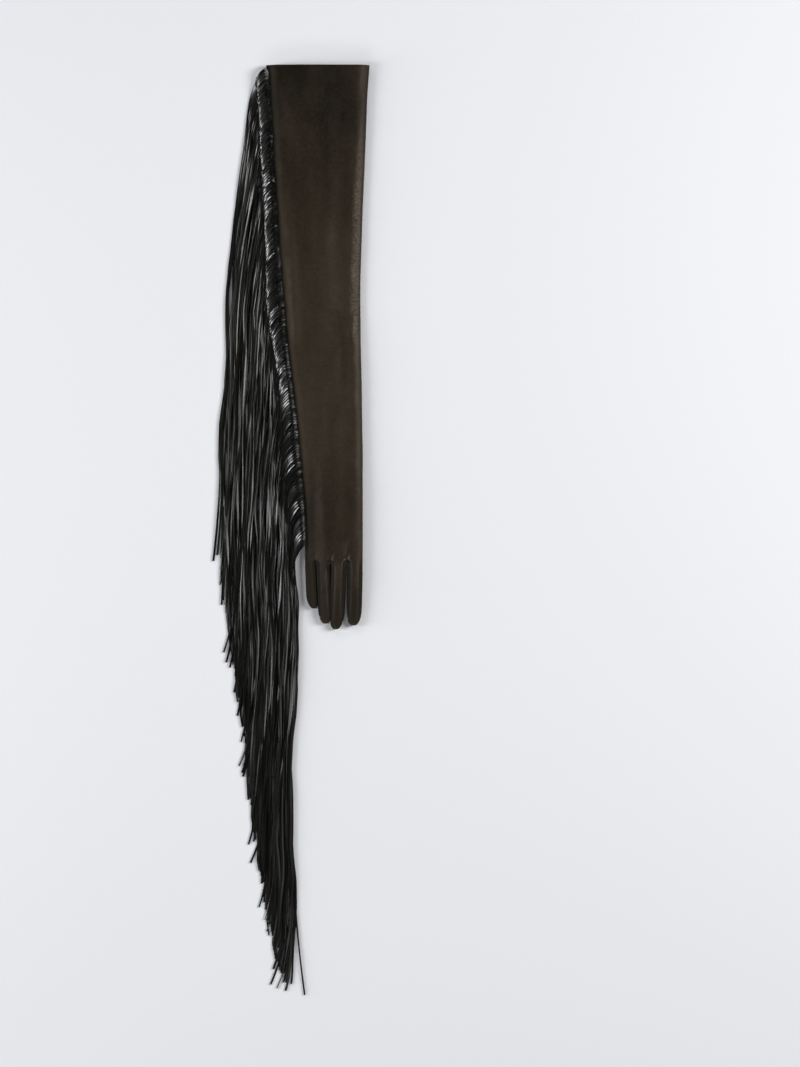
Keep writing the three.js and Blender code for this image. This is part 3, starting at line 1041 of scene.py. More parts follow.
    def cage(self) -> bpy.types.Object:
        """Works the cage from a ring at the top edge to the fingertips.

        Returns:
            The cage, with its lanes in the attribute "lane" and each finger's rows in "row".
        """
        leave_edit()
        bpy.ops.mesh.primitive_circle_add(vertices=len(self.lanes), radius=0.05, fill_type="NOTHING")
        cage = name_active("glove_shell_leather")
        bpy.ops.object.mode_set(mode="EDIT")
        work = bmesh.from_edit_mesh(cage.data)
        lane_layer = work.verts.layers.int.new("lane")
        row_layer = work.verts.layers.int.new("row")
        for index, vertex in enumerate(work.verts):
            vertex[lane_layer] = index
            vertex[row_layer] = 0
            vertex.co = self.trunk_point(self.lanes[index], TOP_Y)
        bmesh.update_edit_mesh(cage.data)
        for y in self.trunk_heights()[1:]:
            bpy.ops.mesh.extrude_region_move(TRANSFORM_OT_translate={"value": (0, -self.ring_step * MM, 0)})
            self.place_selected(cage, lambda lane, at=y: self.trunk_point(lane, at))
        self.close_crotches(cage)
        for number, finger in enumerate(FINGERS):
            self.draw_finger(cage, number, finger)
        bpy.ops.object.mode_set(mode="OBJECT")
        return cage

    def trunk_heights(self) -> list[float]:
        """The heights of the sleeve's and palm's rings, from the top edge down.

        Returns:
            The heights in millimetres.
        """
        edge = [TOP_Y, TOP_Y - 1.6, TOP_Y - 6]
        sleeve = np.arange(TOP_Y - self.ring_step, self.hand_y, -self.ring_step)
        hand = np.linspace(self.hand_y, ROOT_Y, round((self.hand_y - ROOT_Y) / self.hand_step) + 1)
        return [*edge, *sleeve.tolist(), *hand.tolist()]

    @staticmethod
    def open_cage(cage: bpy.types.Object) -> tuple[bmesh.types.BMesh, Layer, Layer]:
        """Hands out the cage for editing.

        Args:
            cage: the cage, in edit mode.

        Returns:
            Its mesh, with the layers of its lanes and rows.
        """
        work = bmesh.from_edit_mesh(cage.data)
        numbers = work.verts.layers.int
        return work, numbers["lane"], numbers["row"]

    def place_selected(self, cage: bpy.types.Object, place: Callable[[Lane], Vector]) -> None:
        """Puts the selected vertices of the cage where their lanes pass.

        Args:
            cage: the cage.
            place: says where a lane passes.
        """
        work, lane_layer, _ = self.open_cage(cage)
        for vertex in work.verts:
            if vertex.select:
                vertex.co = place(self.lane_of(vertex[lane_layer]))
        bmesh.update_edit_mesh(cage.data)

    def lane_of(self, code: int) -> Lane:
        """The lane that a vertex's number stands for; past the ring come the lanes inside the crotches.

        Args:
            code: the number in the attribute.

        Returns:
            The lane.
        """
        if code < len(self.lanes):
            return self.lanes[code]
        crotch, low = divmod(code - len(self.lanes), 2)
        return Lane(FINGER_SPAN * (crotch + 1), Level.LOW if low else Level.HIGH)

    def pick(self, cage: bpy.types.Object, wanted: Callable[[int, int, float], bool]) -> None:
        """Selects the cage's vertices that pass a test on their lane, row and y in millimetres.

        Args:
            cage: the cage.
            wanted: the test.
        """
        bpy.ops.mesh.select_all(action="DESELECT")
        work, lane_layer, row_layer = self.open_cage(cage)
        for vertex in work.verts:
            vertex.select = wanted(vertex[lane_layer], vertex[row_layer], vertex.co.y / MM)
        work.select_flush(True)
        bmesh.update_edit_mesh(cage.data)

    def close_crotches(self, cage: bpy.types.Object) -> None:
        """Joins the back to the palm between the fingers, with two vertices inside each join.

        Args:
            cage: the cage, open at the fingers.
        """
        end_y = ROOT_Y + self.crotch_rise + 1
        for crotch in range(len(FINGERS) - 1):
            column = FINGER_SPAN * (crotch + 1)
            ends = {number for number, lane in enumerate(self.lanes) if lane.column == column}
            self.pick(cage, lambda lane, row, y, ends=ends: lane in ends and y < end_y)
            bpy.ops.mesh.edge_face_add()
            bpy.ops.mesh.subdivide(number_cuts=2)
            work, lane_layer, _ = self.open_cage(cage)
            fresh = [vertex for vertex in work.verts if vertex.select and len(vertex.link_edges) == 2]
            fresh.sort(key=lambda vertex: -vertex.co.z)
            for low, vertex in enumerate(fresh):
                vertex[lane_layer] = len(self.lanes) + 2 * crotch + low
                vertex.co.y += 1.2 * MM
            bmesh.update_edit_mesh(cage.data)

    def finger_lanes(self, number: int) -> set[int]:
        """The numbers of the lanes that bound a finger.

        Args:
            number: the finger's number.

        Returns:
            The lanes' numbers.
        """
        low = FINGER_SPAN * number
        codes = range(len(self.lanes) + 2 * (len(FINGERS) - 1))
        return {code for code in codes if low <= self.lane_of(code).column <= low + FINGER_SPAN}

    def draw_finger(self, cage: bpy.types.Object, number: int, finger: Finger) -> None:
        """Caps a finger's opening and extrudes it row by row to its tip.

        Args:
            cage: the cage.
            number: the finger's number.
            finger: its sizes.
        """
        end_y = ROOT_Y + self.crotch_rise + 2.5
        bounds = self.finger_lanes(number)
        self.pick(cage, lambda lane, row, y: lane in bounds and row == 0 and y < end_y)
        bpy.ops.mesh.edge_face_add()
        for step, row in enumerate(FINGER_ROWS):
            bpy.ops.mesh.extrude_region_move(TRANSFORM_OT_translate={"value": (0, -MM, 0)})
            work, _, row_layer = self.open_cage(cage)
            for vertex in work.verts:
                if vertex.select:
                    vertex[row_layer] = step + 1
            self.place_selected(cage, lambda lane, at=row: self.finger_point(finger, number, lane, at))

    def split_fourchettes(self, cage: bpy.types.Object) -> list[bpy.types.Object]:
        """Parts the side strips between neighbouring fingers from the trank.

        Args:
            cage: the whole cage.

        Returns:
            The three forked strips, from the little finger's side.
        """
        strips = []
        for crotch in range(len(FINGERS) - 1):
            column = FINGER_SPAN * (crotch + 1)
            near = {column - 1, column, column + 1}
            only(cage)
            bpy.ops.object.mode_set(mode="EDIT")
            bpy.ops.mesh.select_all(action="DESELECT")
            bpy.ops.mesh.select_mode(type="FACE")
            work, lane_layer, row_layer = self.open_cage(cage)
            for face in work.faces:
                columns = {self.lane_of(vertex[lane_layer]).column for vertex in face.verts}
                rows = {vertex[row_layer] for vertex in face.verts}
                wanted = columns <= near and column in columns and 0 < max(rows) <= self.fourchette_rows
                face.select = wanted and len(face.verts) == 4
            bmesh.update_edit_mesh(cage.data)
            bpy.ops.mesh.separate(type="SELECTED")
            bpy.ops.mesh.select_mode(type="VERT")
            leave_edit()
            objects = bpy.context.scene.objects
            strip = next(piece for piece in objects if piece.name.startswith(cage.name + "."))
            strip.name = f"fourchette_{FINGERS[crotch].name}_{FINGERS[crotch + 1].name}_leather"
            strip.data.name = strip.name
            strips.append(strip)
        return strips

    def build(self, leather: bpy.types.Material, flesh: bpy.types.Material) -> list[bpy.types.Object]:
        """Makes the trank and its three fourchettes.

        Args:
            leather: the grain side's finish.
            flesh: the inside's finish.

        Returns:
            The trank, and after it the fourchettes from the little finger's side.
        """
        trank = self.cage()
        parts = [trank, *self.split_fourchettes(trank)]
        for part in parts:
            part.data.materials.append(leather)
            part.data.materials.append(flesh)
            subdivide_smoothly(part, self.smoothing)
            self.sink_seams(part)
            self.wrinkle(part)
            thickness = self.wall * MM
            apply_modifier(part, "SOLIDIFY", thickness=thickness, offset=-1, material_offset=1)
        ThumbHole().cut(trank)
        finish_piece(trank, Slot.GLOVE, "glove_shell")
        for part, node in zip(parts[1:], ("little_ring", "ring_middle", "middle_index")):
            finish_piece(part, Slot.GLOVE, f"fourchette_{node}")
        return parts

    def sink_seams(self, part: bpy.types.Object) -> None:
        """Turns the edges of a sewn part down into its seams, apart from the open top edge.

        Args:
            part: the trank or a fourchette.
        """
        mesh = part.data
        points = places(part)
        out = normals(part)
        edges = np.array([edge.vertices[:] for edge in mesh.edges])
        uses = np.zeros(len(mesh.edges), int)
        rows = np.empty(len(mesh.loops), int)
        mesh.loops.foreach_get("edge_index", rows)
        np.add.at(uses, rows, 1)
        rim = np.zeros(len(points), bool)
        rim[edges[uses == 1].ravel()] = True
        rim &= points[:, 1] < self.hem_y * MM
        beside = np.zeros(len(points), bool)
        touching = edges[rim[edges].any(axis=1)]
        beside[touching.ravel()] = True
        beside &= ~rim
        depth = np.where(rim, self.seam_depth, np.where(beside, self.seam_depth * 0.3, 0.0))
        set_places(part, points - out * (depth * MM)[:, None])
        # The seam mask, by which the colour darkens as painted shade in the seam grooves.
        store(part, "seam", np.where(rim, 1.0, np.where(beside, 0.75, 0.0)))

    def wrinkle(self, part: bpy.types.Object) -> None:
        """Moves the skin as well-used leather lies: soft dents, crowded creases and gathers.

        Args:
            part: the trank or a fourchette.
        """
        points = places(part)
        out = normals(part)
        x, y, z = (points / MM).T
        upper = smooth(out[:, 2], 0.15, 0.7)
        from_right = sleeve_at("right", y) - x
        hand = smooth(-y, -60.0, 40.0)
        sleeve = 1 - smooth(-y, -40.0, 30.0)
        soft = self.dents.at(x, y) * (self.sleeve_dent * sleeve + self.hand_dent)
        soft += self.cross_folds.at(x, y) * self.cross_height * sleeve
        band = smooth(from_right, 0.6, 3.5) * (1 - smooth(from_right, 13.0, 23.0))
        stretch = smooth(y, 205.0, 290.0) * (1 - smooth(y, 470.0, 545.0))
        crowd = band * (0.22 + 0.78 * stretch)
        fine = self.crowding.at(x, y) * crowd * self.crowd_height
        folded = sum(fold.at(x, y) for fold in FOLDS)
        slope = mark_at(RIGHT_SLOPE, y)
        fall = slope * self.slope_fall * np.clip(1 - from_right / slope, 0, 1) ** 2.0
        edge = lerp(sleeve_at("under_right", y), sleeve_at("over_right", y), self.edge_share)
        fall *= np.clip(z - edge, 0, None) / (sleeve_at("over_right", y) - edge)
        points[:, 2] -= fall * MM
        lift = (soft + fine + self.puckers(x, y) + folded + self.knuckle_creases(x, y)) * upper
        lift += self.dents.at(x + 400, y) * self.palm_dent * (1 - upper)
        points = points + out * (lift * MM)[:, None]
        points[:, 2] = np.maximum(points[:, 2], 0)
        set_places(part, points)
        # Where creases crowd: this drives their bump, and it also lightens the colour, partly painting the
        # sheen along the far side.
        crease = crowd * upper + 0.28 * hand * upper * smooth(-y, 30.0, 60.0)
        store(part, "crease", np.clip(crease, 0, 1))
        self.mark_wear_sheen_and_shade(part, x, y, stretch)

    def mark_wear_sheen_and_shade(
        self, part: bpy.types.Object, x: np.ndarray, y: np.ndarray, stretch: np.ndarray
    ) -> None:
        """Stores the leather's lighter tone, made of rubbing, painted sheen and painted shade, and where it
        is matt and painted a little darker.

        Args:
            part: the trank or a fourchette.
            x: the places across.
            y: the places along.
            stretch: how near a place is to the crowded stretch of the far side.
        """
        left = sleeve_at("left", y)
        from_right = sleeve_at("right", y) - x
        # Painted sheen: a soft light band about 17 mm in from the fringe seam, over the middle of the
        # sleeve.
        painted_light = bell(x - left - 17, 6.5) * smooth(y, 150.0, 260.0) * (1 - smooth(y, 400.0, 480.0))
        sides = self.finger_sides(x, y)
        # Painted sheens over the fingers and the hand.
        painted_light = 0.24 * painted_light + sum(sheen_spot.at(x, y) for sheen_spot in PAINTED_SHEENS)
        # Painted sheen along the far side, brighter on the stretch of crowded creases.
        width = mark_at(PAINTED_SHEEN_WIDTH, y)
        painted_light += (1 - smooth(from_right, width * 0.2, width * 1.1)) * (0.03 + 0.09 * stretch)
        # Painted shade: darker along the fringe seam, where the curl shades the leather.
        painted_light -= 0.4 * bell(x - left, 6.0)
        # The tone: rubbing and painted sheen, held back as painted shade on the little finger and on the
        # fingers' sides.
        worn_and_painted_light = np.clip(mark_at(WEAR_AND_SHEEN, y) + painted_light, 0, 1) * self.little_shade(x, y) * (1 - 0.8 * sides)
        store(part, "wear", worn_and_painted_light)
        # The matt mask raises the roughness and also paints shade, darkening the colour a little: by both
        # side seams, on the fingers' sides, on the left side of the hand and on the little finger.
        seam_side = bell(x - left, 7.0) + bell(from_right, 7.0) * (0.6 - 0.36 * stretch)
        low_side = 0.5 * bell(x - left - 18, 8.0) * smooth(-y, -70.0, 0.0)
        low_side += 0.5 * (1 - self.little_shade(x, y))
        store(part, "dull", np.clip(seam_side + sides + low_side, 0, 1))

    def puckers(self, x: np.ndarray, y: np.ndarray) -> np.ndarray:
        """The gathers that fan out from between the fingers.

        Args:
            x: the places across.
            y: the places along.

        Returns:
            Heights in millimetres.
        """
        total = np.zeros_like(x)
        for crotch_x, crotch_y in self.crotches:
            dx = x - crotch_x
            dy = y - crotch_y
            radius = np.hypot(dx, dy)
            angle = np.arctan2(dx, np.maximum(dy, 0.01))
            reach = np.exp(-radius / 5.5) * smooth(dy, -1.0, 3.0)
            total += np.cos(angle * 9.0 + 0.6) * reach * 0.9
        return total

    def knuckle_creases(self, x: np.ndarray, y: np.ndarray) -> np.ndarray:
        """The fine creases that cross the fingers where they bend, as heights below zero.

        Args:
            x: the places across.
            y: the places along.

        Returns:
            Heights in millimetres.
        """
        total = np.zeros_like(x)
        for finger in FINGERS:
            along = (ROOT_Y - y) / (ROOT_Y - finger.tip_y)
            centre = lerp(finger.base_x, finger.tip_x, along)
            inside = 1 - smooth(np.abs(x - centre), finger.width * 0.3, finger.width * 0.5)
            for place, depth in self.knuckles:
                total -= bell(along - place, self.knuckle_width) * depth * inside * (y < ROOT_Y)
        return total

    @staticmethod
    def little_shade(x: np.ndarray, y: np.ndarray) -> np.ndarray:
        """How much of its lighter tone the leather keeps: none on the little finger, which stays dark as
        painted shade.
        """
        return 1 - smooth(-y, 25.0, 60.0) * (1 - smooth(x, 26.0, 33.0))

    @staticmethod
    def finger_sides(x: np.ndarray, y: np.ndarray) -> np.ndarray:
        """How near the fingers' sides a place is, from 0 to 1.

        Args:
            x: the places across.
            y: the places along.

        Returns:
            1 at a side, 0 on a finger's middle and above the fingers.
        """
        near = np.ones_like(x)
        for finger in FINGERS:
            along = np.clip((ROOT_Y - y) / (ROOT_Y - finger.tip_y), 0, 1)
            centre = lerp(finger.base_x, finger.tip_x, along)
            near = np.minimum(near, smooth(np.abs(x - centre), finger.width * 0.17, finger.width * 0.36))
        return near * smooth(-y, -ROOT_Y - 8, -ROOT_Y + 8)


@dataclass(frozen=True)
class ThumbHole:
    """The hole that the thumb is sewn to, through its own upper wall and the palm's under wall alone."""

    centre: tuple[float, float, float] = (75.5, 36.0, 6.2)
    size: tuple[float, float, float] = (10.0, 17.0, 5.6)
    turn: float = -0.186
    sides: int = 48

    def cut(self, piece: bpy.types.Object) -> None:
        """Cuts the hole with a plug, which is taken away again.

        Args:
            piece: the trank or the thumb.
        """
        leave_edit()
        centre = [value * MM for value in self.centre]
        bpy.ops.mesh.primitive_cylinder_add(vertices=self.sides, radius=1, depth=1, location=centre)
        plug = bpy.context.active_object
        plug.scale = [value * MM for value in self.size]
        plug.rotation_euler.z = self.turn
        bpy.ops.object.transform_apply(location=True, rotation=True, scale=True)
        apply_modifier(piece, "BOOLEAN", operation="DIFFERENCE", solver="EXACT", object=plug)
        bpy.data.objects.remove(plug)


@dataclass
class Thumb:
    """The thumb, pressed flat under the palm and open to it."""

    base: tuple[float, float] = (79.5, 60.0)
    tip: tuple[float, float] = (61.0, -38.0)
    width: float = 26.6
    thickness: float = 5.1
    wall: float = 1.1
    sides: int = 16
    rows: tuple[FingerRow, ...] = THUMB_ROWS

    def build(self, leather: bpy.types.Material, flesh: bpy.types.Material) -> bpy.types.Object:
        """Draws the thumb from its base ring to its tip, walls it and opens it to the palm.

        Args:
            leather: the grain side's finish.
            flesh: the inside's finish.

        Returns:
            The thumb.
        """
        leave_edit()
        bpy.ops.mesh.primitive_circle_add(vertices=self.sides, radius=0.01, fill_type="NGON")
        thumb = name_active("thumb_leather")
        bpy.ops.object.mode_set(mode="EDIT")
        work = bmesh.from_edit_mesh(thumb.data)
        layer = work.verts.layers.int.new("turn")
        for index, vertex in enumerate(work.verts):
            vertex[layer] = index
            vertex.co = self.point(index, self.rows[0])
        bmesh.update_edit_mesh(thumb.data)
        bpy.ops.mesh.duplicate()
        bpy.ops.mesh.flip_normals()
        for row in self.rows[1:]:
            bpy.ops.mesh.extrude_region_move(TRANSFORM_OT_translate={"value": (0, -MM, 0)})
            work = bmesh.from_edit_mesh(thumb.data)
            layer = work.verts.layers.int["turn"]
            for vertex in work.verts:
                if vertex.select:
                    vertex.co = self.point(vertex[layer], row)
            bmesh.update_edit_mesh(thumb.data)
        bpy.ops.mesh.select_all(action="SELECT")
        bpy.ops.mesh.remove_doubles(threshold=0.00002)
        bpy.ops.mesh.normals_make_consistent(inside=False)
        leave_edit()
        thumb.data.materials.append(leather)
        thumb.data.materials.append(flesh)
        subdivide_smoothly(thumb, 2)
        store(thumb, "crease", np.full(len(thumb.data.vertices), 0.25))
        store(thumb, "wear", np.full(len(thumb.data.vertices), 0.4))
        apply_modifier(thumb, "SOLIDIFY", thickness=self.wall * MM, offset=-1, material_offset=1)
        ThumbHole().cut(thumb)
        return finish_piece(thumb, Slot.GLOVE, "thumb")

    def point(self, index: int, row: FingerRow) -> Vector:
        """Where one of the thumb's lanes passes a ring.

        Args:
            index: the lane's number.
            row: the ring.

        Returns:
            The place, in metres.
        """
        angle = FULL_TURN * index / self.sides
        run = Vector((self.tip[0] - self.base[0], self.tip[1] - self.base[1]))
        across = Vector((-run.y, run.x)).normalized()
        centre = Vector(self.base) + run * row.along
        side = math.copysign(abs(math.cos(angle)) ** 0.8, math.cos(angle)) * self.width * row.wide / 2
        rise = math.copysign(abs(math.sin(angle)) ** 0.7, math.sin(angle)) * self.thickness * row.thick / 2
        place = centre + across * side
        return Vector((place.x, place.y, self.thickness / 2 + rise)) * MM


@dataclass
class Fringe:
    """Over three hundred strips cut from one band, which curl out of the seam and hang in wavy wisps."""

    strips: int = 340
    pieces: int = 3
    seed: int = 23
    start_y: float = 617.0
    end_y: float = -18.6
    shortest_end_y: float = -40.0
    longest_end_y: float = -612.0
    strips_in_wisp: int = 12
    curl_steps: int = 18
    hang_steps: int = 84
    top_curl_drop: float = 21.0
    low_curl_drop: float = 30.0
    curl_slope: float = 0.6
    seam_lean: float = -1.52
    lower_lean: float = -1.0
    settle_drop: float = 8.0
    curl_height: float = 12.2
    curl_end: float = 0.88
    rise_share: float = 0.17
    lower_layer: float = 1.7
    seam_height: float = 12.6
    strip_width: float = 2.5
    strip_thickness: float = 0.76
    shoulder_share: float = 0.45
    crisp_edge: float = 0.75
    lowest: float = 1.35
    loose_share: float = 0.05
    flesh_share: float = 0.02
    low_seam_lean: float = 0.22
    settled_growth: float = 0.08
    roll_growth: float = 0.4
    pair_lean: float = 0.06
    lean_groups: tuple[tuple[int, float], ...] = ((3, 0.10), (8, 0.05))

    def __post_init__(self) -> None:
        """Starts the seeded draws, which every method takes in turn."""
        self.chance = np.random.default_rng(self.seed)

    @property
    def each(self) -> np.ndarray:
        """The strips' numbers, down the seam."""
        return np.arange(self.strips)

    def build(self, material: bpy.types.Material) -> list[bpy.types.Object]:
        """Makes the strips in a few joined pieces, and the band that they are cut from.

        Args:
            material: the strips' finish.

        Returns:
            The pieces, the band last.
        """
        lines = self.lines()
        rings = self.rings(lines)
        looks = {"shade": self.shades(lines), "flesh": self.flesh_sides(lines), "polish": self.polish(lines)}
        made = []
        for number, chosen in enumerate(np.array_split(self.each, self.pieces)):
            piece = self.join_strips(f"fringe_strips_{number + 1}", rings[chosen])
            for name, values in looks.items():
                store(piece, name, np.repeat(values[chosen].ravel(), rings.shape[2]))
            piece.data.materials.append(material)
            nodes = ("fringe",) if number == 0 else ()
            made.append(finish_piece(piece, Slot.FRINGE, *nodes, crisp=self.crisp_edge))
        band = self.head_band()
        band.data.materials.append(material)
        made.append(finish_piece(band, Slot.FRINGE))
        return made

    def hanging_x(self, place: np.ndarray, y: np.ndarray) -> np.ndarray:
        """Where a strip hangs at a height: the oldest lie on the left, the newest by the curl.

        Args:
            place: the strips' places along the seam.
            y: the heights.

        Returns:
            The x of each.
        """
        run = self.start_y - self.end_y
        curl = lerp(self.top_curl_drop, self.low_curl_drop, place) + self.settle_drop
        newest = np.clip((self.start_y - curl - y) / run, 0.001, 1)
        oldest = np.clip((self.shortest_end_y - y) / (self.shortest_end_y + 619), 0, 0.995)
        share = np.clip((place - oldest) / np.maximum(newest - oldest, 0.004), 0, 1)
        return lerp(mark_at(FRINGE_LEFT, y) + 1.5, mark_at(ROLL_LEFT, y), share)

    def lines(self) -> np.ndarray:
        """The strips' middle lines, in millimetres, as strips by steps by x, y and z.

        Returns:
            The lines.
        """
        place = (self.each + 0.5) / self.strips
        wisp = (self.each + self.chance.integers(-2, 3, self.strips)) // self.strips_in_wisp
        wisp = np.clip(wisp, 0, (self.strips - 1) // self.strips_in_wisp)
        wisps = wisp.max() + 1
        pair = self.each // 2
        start = lerp(self.start_y, self.end_y, place) + self.chance.uniform(-0.25, 0.25, self.strips)[pair]
        end = lerp(self.shortest_end_y, self.longest_end_y, place)
        end = end + self.chance.normal(0, 8, wisps)[wisp] + self.chance.normal(0, 7, self.strips)
        end = np.maximum(end, -618.0)
        for stray in LOOSE_ENDS:
            end[round(stray.place * self.strips)] = stray.end_y
        drop = lerp(self.top_curl_drop, self.low_curl_drop, place)
        drop = drop + self.chance.normal(0, 1.6, wisps)[wisp] + self.chance.normal(0, 0.4, self.strips)[pair]
        curl = self.curl_lines(start, drop, wisp)
        hang = self.hang_lines(place, start - drop, end, wisp)
        return np.concatenate([curl, hang[:, 1:]], axis=1)

    def curl_lines(self, start: np.ndarray, drop: np.ndarray, wisp: np.ndarray) -> np.ndarray:
        """The quarter turns from the seam out to the curl's left border.

        Args:
            start: where the strips leave the seam.
            drop: how far they fall in the curl.
            wisp: the wisp of each.

        Returns:
            The lines, as in lines().
        """
        turn = np.linspace(0, math.pi / 2, self.curl_steps)[None, :]
        share = turn / (math.pi / 2)
        seam = sleeve_at("left", start)[:, None] + 1.2
        border = mark_at(ROLL_LEFT, start - drop)[:, None]
        spread = self.chance.normal(0, 0.2, self.strips)[:, None]
        spread = spread + self.chance.normal(0, 0.7, wisp.max() + 1)[wisp][:, None]
        x = seam + (border + spread * share - seam) * np.sin(turn)
        y = start[:, None] - drop[:, None] * lerp(1 - np.cos(turn), share, self.curl_slope)
        pile = mark_at(PILE, start)[:, None]
        top = self.curl_height + pile * 0.5
        rising = np.clip(1 - share / self.rise_share, 0, 1)
        falling = np.clip((share - self.rise_share) / (self.curl_end - self.rise_share), 0, 1)
        z = lerp(top, pile, falling) - (top - self.seam_height) * rising**2
        beneath = np.where(self.each % 2 == 1, self.lower_layer, 0.0)
        z = z + self.chance.normal(0, 0.12, self.strips)[:, None] - beneath[:, None] * smooth(share, 0, 0.15)
        return np.stack([x, y, z], axis=2)

    def hang_lines(
        self,
        place: np.ndarray,
        start: np.ndarray,
        end: np.ndarray,
        wisp: np.ndarray,
    ) -> np.ndarray:
        """The hanging lengths below the curl.

        Args:
            place: the strips' places along the seam.
            start: where they leave the curl.
            end: where they end.
            wisp: the wisp of each.

        Returns:
            The lines, as in lines().
        """
        along = np.linspace(0, 1, self.hang_steps + 1)[None, :]
        y = lerp(start[:, None], end[:, None], along)
        fallen = start[:, None] - y
        left_to_end = y - end[:, None]
        x = self.wander(place, wisp, y, fallen, left_to_end)
        for stray in LOOSE_ENDS:
            number = round(stray.place * self.strips)
            leaves_x = np.interp(stray.reach, left_to_end[number, ::-1], x[number, ::-1])
            strayed = np.clip(1 - left_to_end[number] / stray.reach, 0, 1)
            x[number] = np.where(strayed > 0, lerp(leaves_x, stray.end_x, strayed**1.6), x[number])
        z = self.pile_up(x, y, fallen, left_to_end)
        start_z = mark_at(PILE, start)[:, None]
        z = lerp(start_z, z, smooth(fallen, 0, 18))
        return np.stack([x, y, z], axis=2)

    def wander(
        self,
        place: np.ndarray,
        wisp: np.ndarray,
        y: np.ndarray,
        fallen: np.ndarray,
        left_to_end: np.ndarray,
    ) -> np.ndarray:
        """How the hanging strips wander: gathered in wisps, in long waves, and apart at their tips.

        Args:
            place: the strips' places along the seam.
            wisp: the wisp of each.
            y: the heights, a row for each strip.
            fallen: how far a height is below the curl.
            left_to_end: how far it is above the strip's end.

        Returns:
            The x at each height.
        """
        x = self.hanging_x(place[:, None], y)
        wisps = wisp.max() + 1
        middle = np.array([place[wisp == number].mean() for number in range(wisps)])[wisp][:, None]
        gather = 0.5 * smooth(fallen, 20, 90) * (0.55 + 0.45 * self.waves(y, wisp, (140, 320)))
        x = lerp(x, self.hanging_x(middle, y), gather)
        room = np.clip((mark_at(ROLL_LEFT, y) - mark_at(FRINGE_LEFT, y)) / 70, 0.3, 1)
        loosen = smooth(fallen, 4, 60)
        x = x + self.waves(y, wisp, (150, 380)) * 2.4 * room * loosen
        x = x + self.waves(y, self.each, (170, 420)) * 1.8 * room * loosen
        x = x + self.waves(y, self.each, (70, 130)) * 0.4 * loosen
        loose = (self.chance.random(self.strips) < self.loose_share)[:, None]
        flick = self.chance.normal(0, 1, self.strips)[:, None] * np.where(loose, 9.0, 2.4)
        x = x + flick * (1 - smooth(left_to_end, 4, 75)) * room
        return x + np.maximum(mark_at(FRINGE_LEFT, y) - 1.0 - x, 0) * 0.85

    def pile_up(
        self, x: np.ndarray, y: np.ndarray, fallen: np.ndarray, left_to_end: np.ndarray
    ) -> np.ndarray:
        """How high the hanging strips lie: in layers, thin at the outer border, and down at their tips.

        Args:
            x: the places across.
            y: the heights, a row for each strip.
            fallen: how far a height is below the curl.
            left_to_end: how far it is above the strip's end.

        Returns:
            The z at each height.
        """
        pile = mark_at(PILE, y) * (0.42 + 0.58 * smooth(x - mark_at(FRINGE_LEFT, y), 0, 24))
        layer = self.chance.random(self.strips)[:, None] + 0.16 * self.waves(y, self.each, (220, 520))
        layer = np.clip(layer, 0, 1)
        top = lerp(1.0, layer, smooth(fallen, 10, 70))
        z = self.lowest + (pile - self.lowest) * top
        z = z + 0.15 * self.waves(y, self.each, (60, 130)) * smooth(fallen, 4, 60)
        return lerp(np.maximum(z, self.lowest), self.lowest, 1 - smooth(left_to_end, 0, 50) * 0.6 - 0.4)

    def waves(self, y: np.ndarray, group: np.ndarray, lengths: tuple[float, float]) -> np.ndarray:
        """Three waves of chance lengths and phases for each group, from about -1 to 1.

        Args:
            y: the heights, a row for each strip.
            group: the group of each strip.
            lengths: the shortest and the longest wave.

        Returns:
            The waves at the heights.
        """
        count = int(group.max()) + 1
        total = np.zeros(y.shape)
        for _ in range(3):
            length = self.chance.uniform(*lengths, count)[group][:, None]
            phase = self.chance.uniform(0, FULL_TURN, count)[group][:, None]
            total += np.sin(y * FULL_TURN / length + phase)
        return total / 2

    def rings(self, lines: np.ndarray) -> np.ndarray:
        """The corners of each strip's crowned section at each step, in metres.

        Args:
            lines: the middle lines.

        Returns:
            Strips by steps by corners by x, y and z.
        """
        tangent = np.gradient(lines, axis=1)
        tangent /= np.linalg.norm(tangent, axis=2, keepdims=True)
        up = np.array([0.0, 0.0, 1.0])
        rise = up - tangent * (tangent @ up)[..., None]
        rise /= np.linalg.norm(rise, axis=2, keepdims=True)
        across = np.cross(tangent, rise)
        turn, settling = self.turns(lines)
        turn = turn[..., None]
        flat = np.cos(turn) * across + np.sin(turn) * rise
        deep = np.cos(turn) * rise - np.sin(turn) * across
        width = self.strip_width * self.chance.uniform(0.8, 1.18, self.strips)
        flat = flat * (width / 2)[:, None, None]
        thickness = self.strip_thickness * self.chance.uniform(0.85, 1.15, self.strips)[:, None, None]
        step = np.arange(lines.shape[1])[None, :]
        bulge = smooth(step, 1, self.curl_steps * 0.25)
        bulge = bulge * (1 - smooth(step, self.curl_steps * 0.5, self.curl_steps * 0.85))
        growth = 0.5 + self.settled_growth * settling + self.roll_growth * bulge
        deep = deep * thickness * growth[..., None]
        shoulder = deep * self.shoulder_share
        corners = [lines + flat + shoulder, lines + deep, lines - flat + shoulder, lines - flat - deep]
        corners.append(lines + flat - deep)
        return np.stack(corners, axis=2) * MM

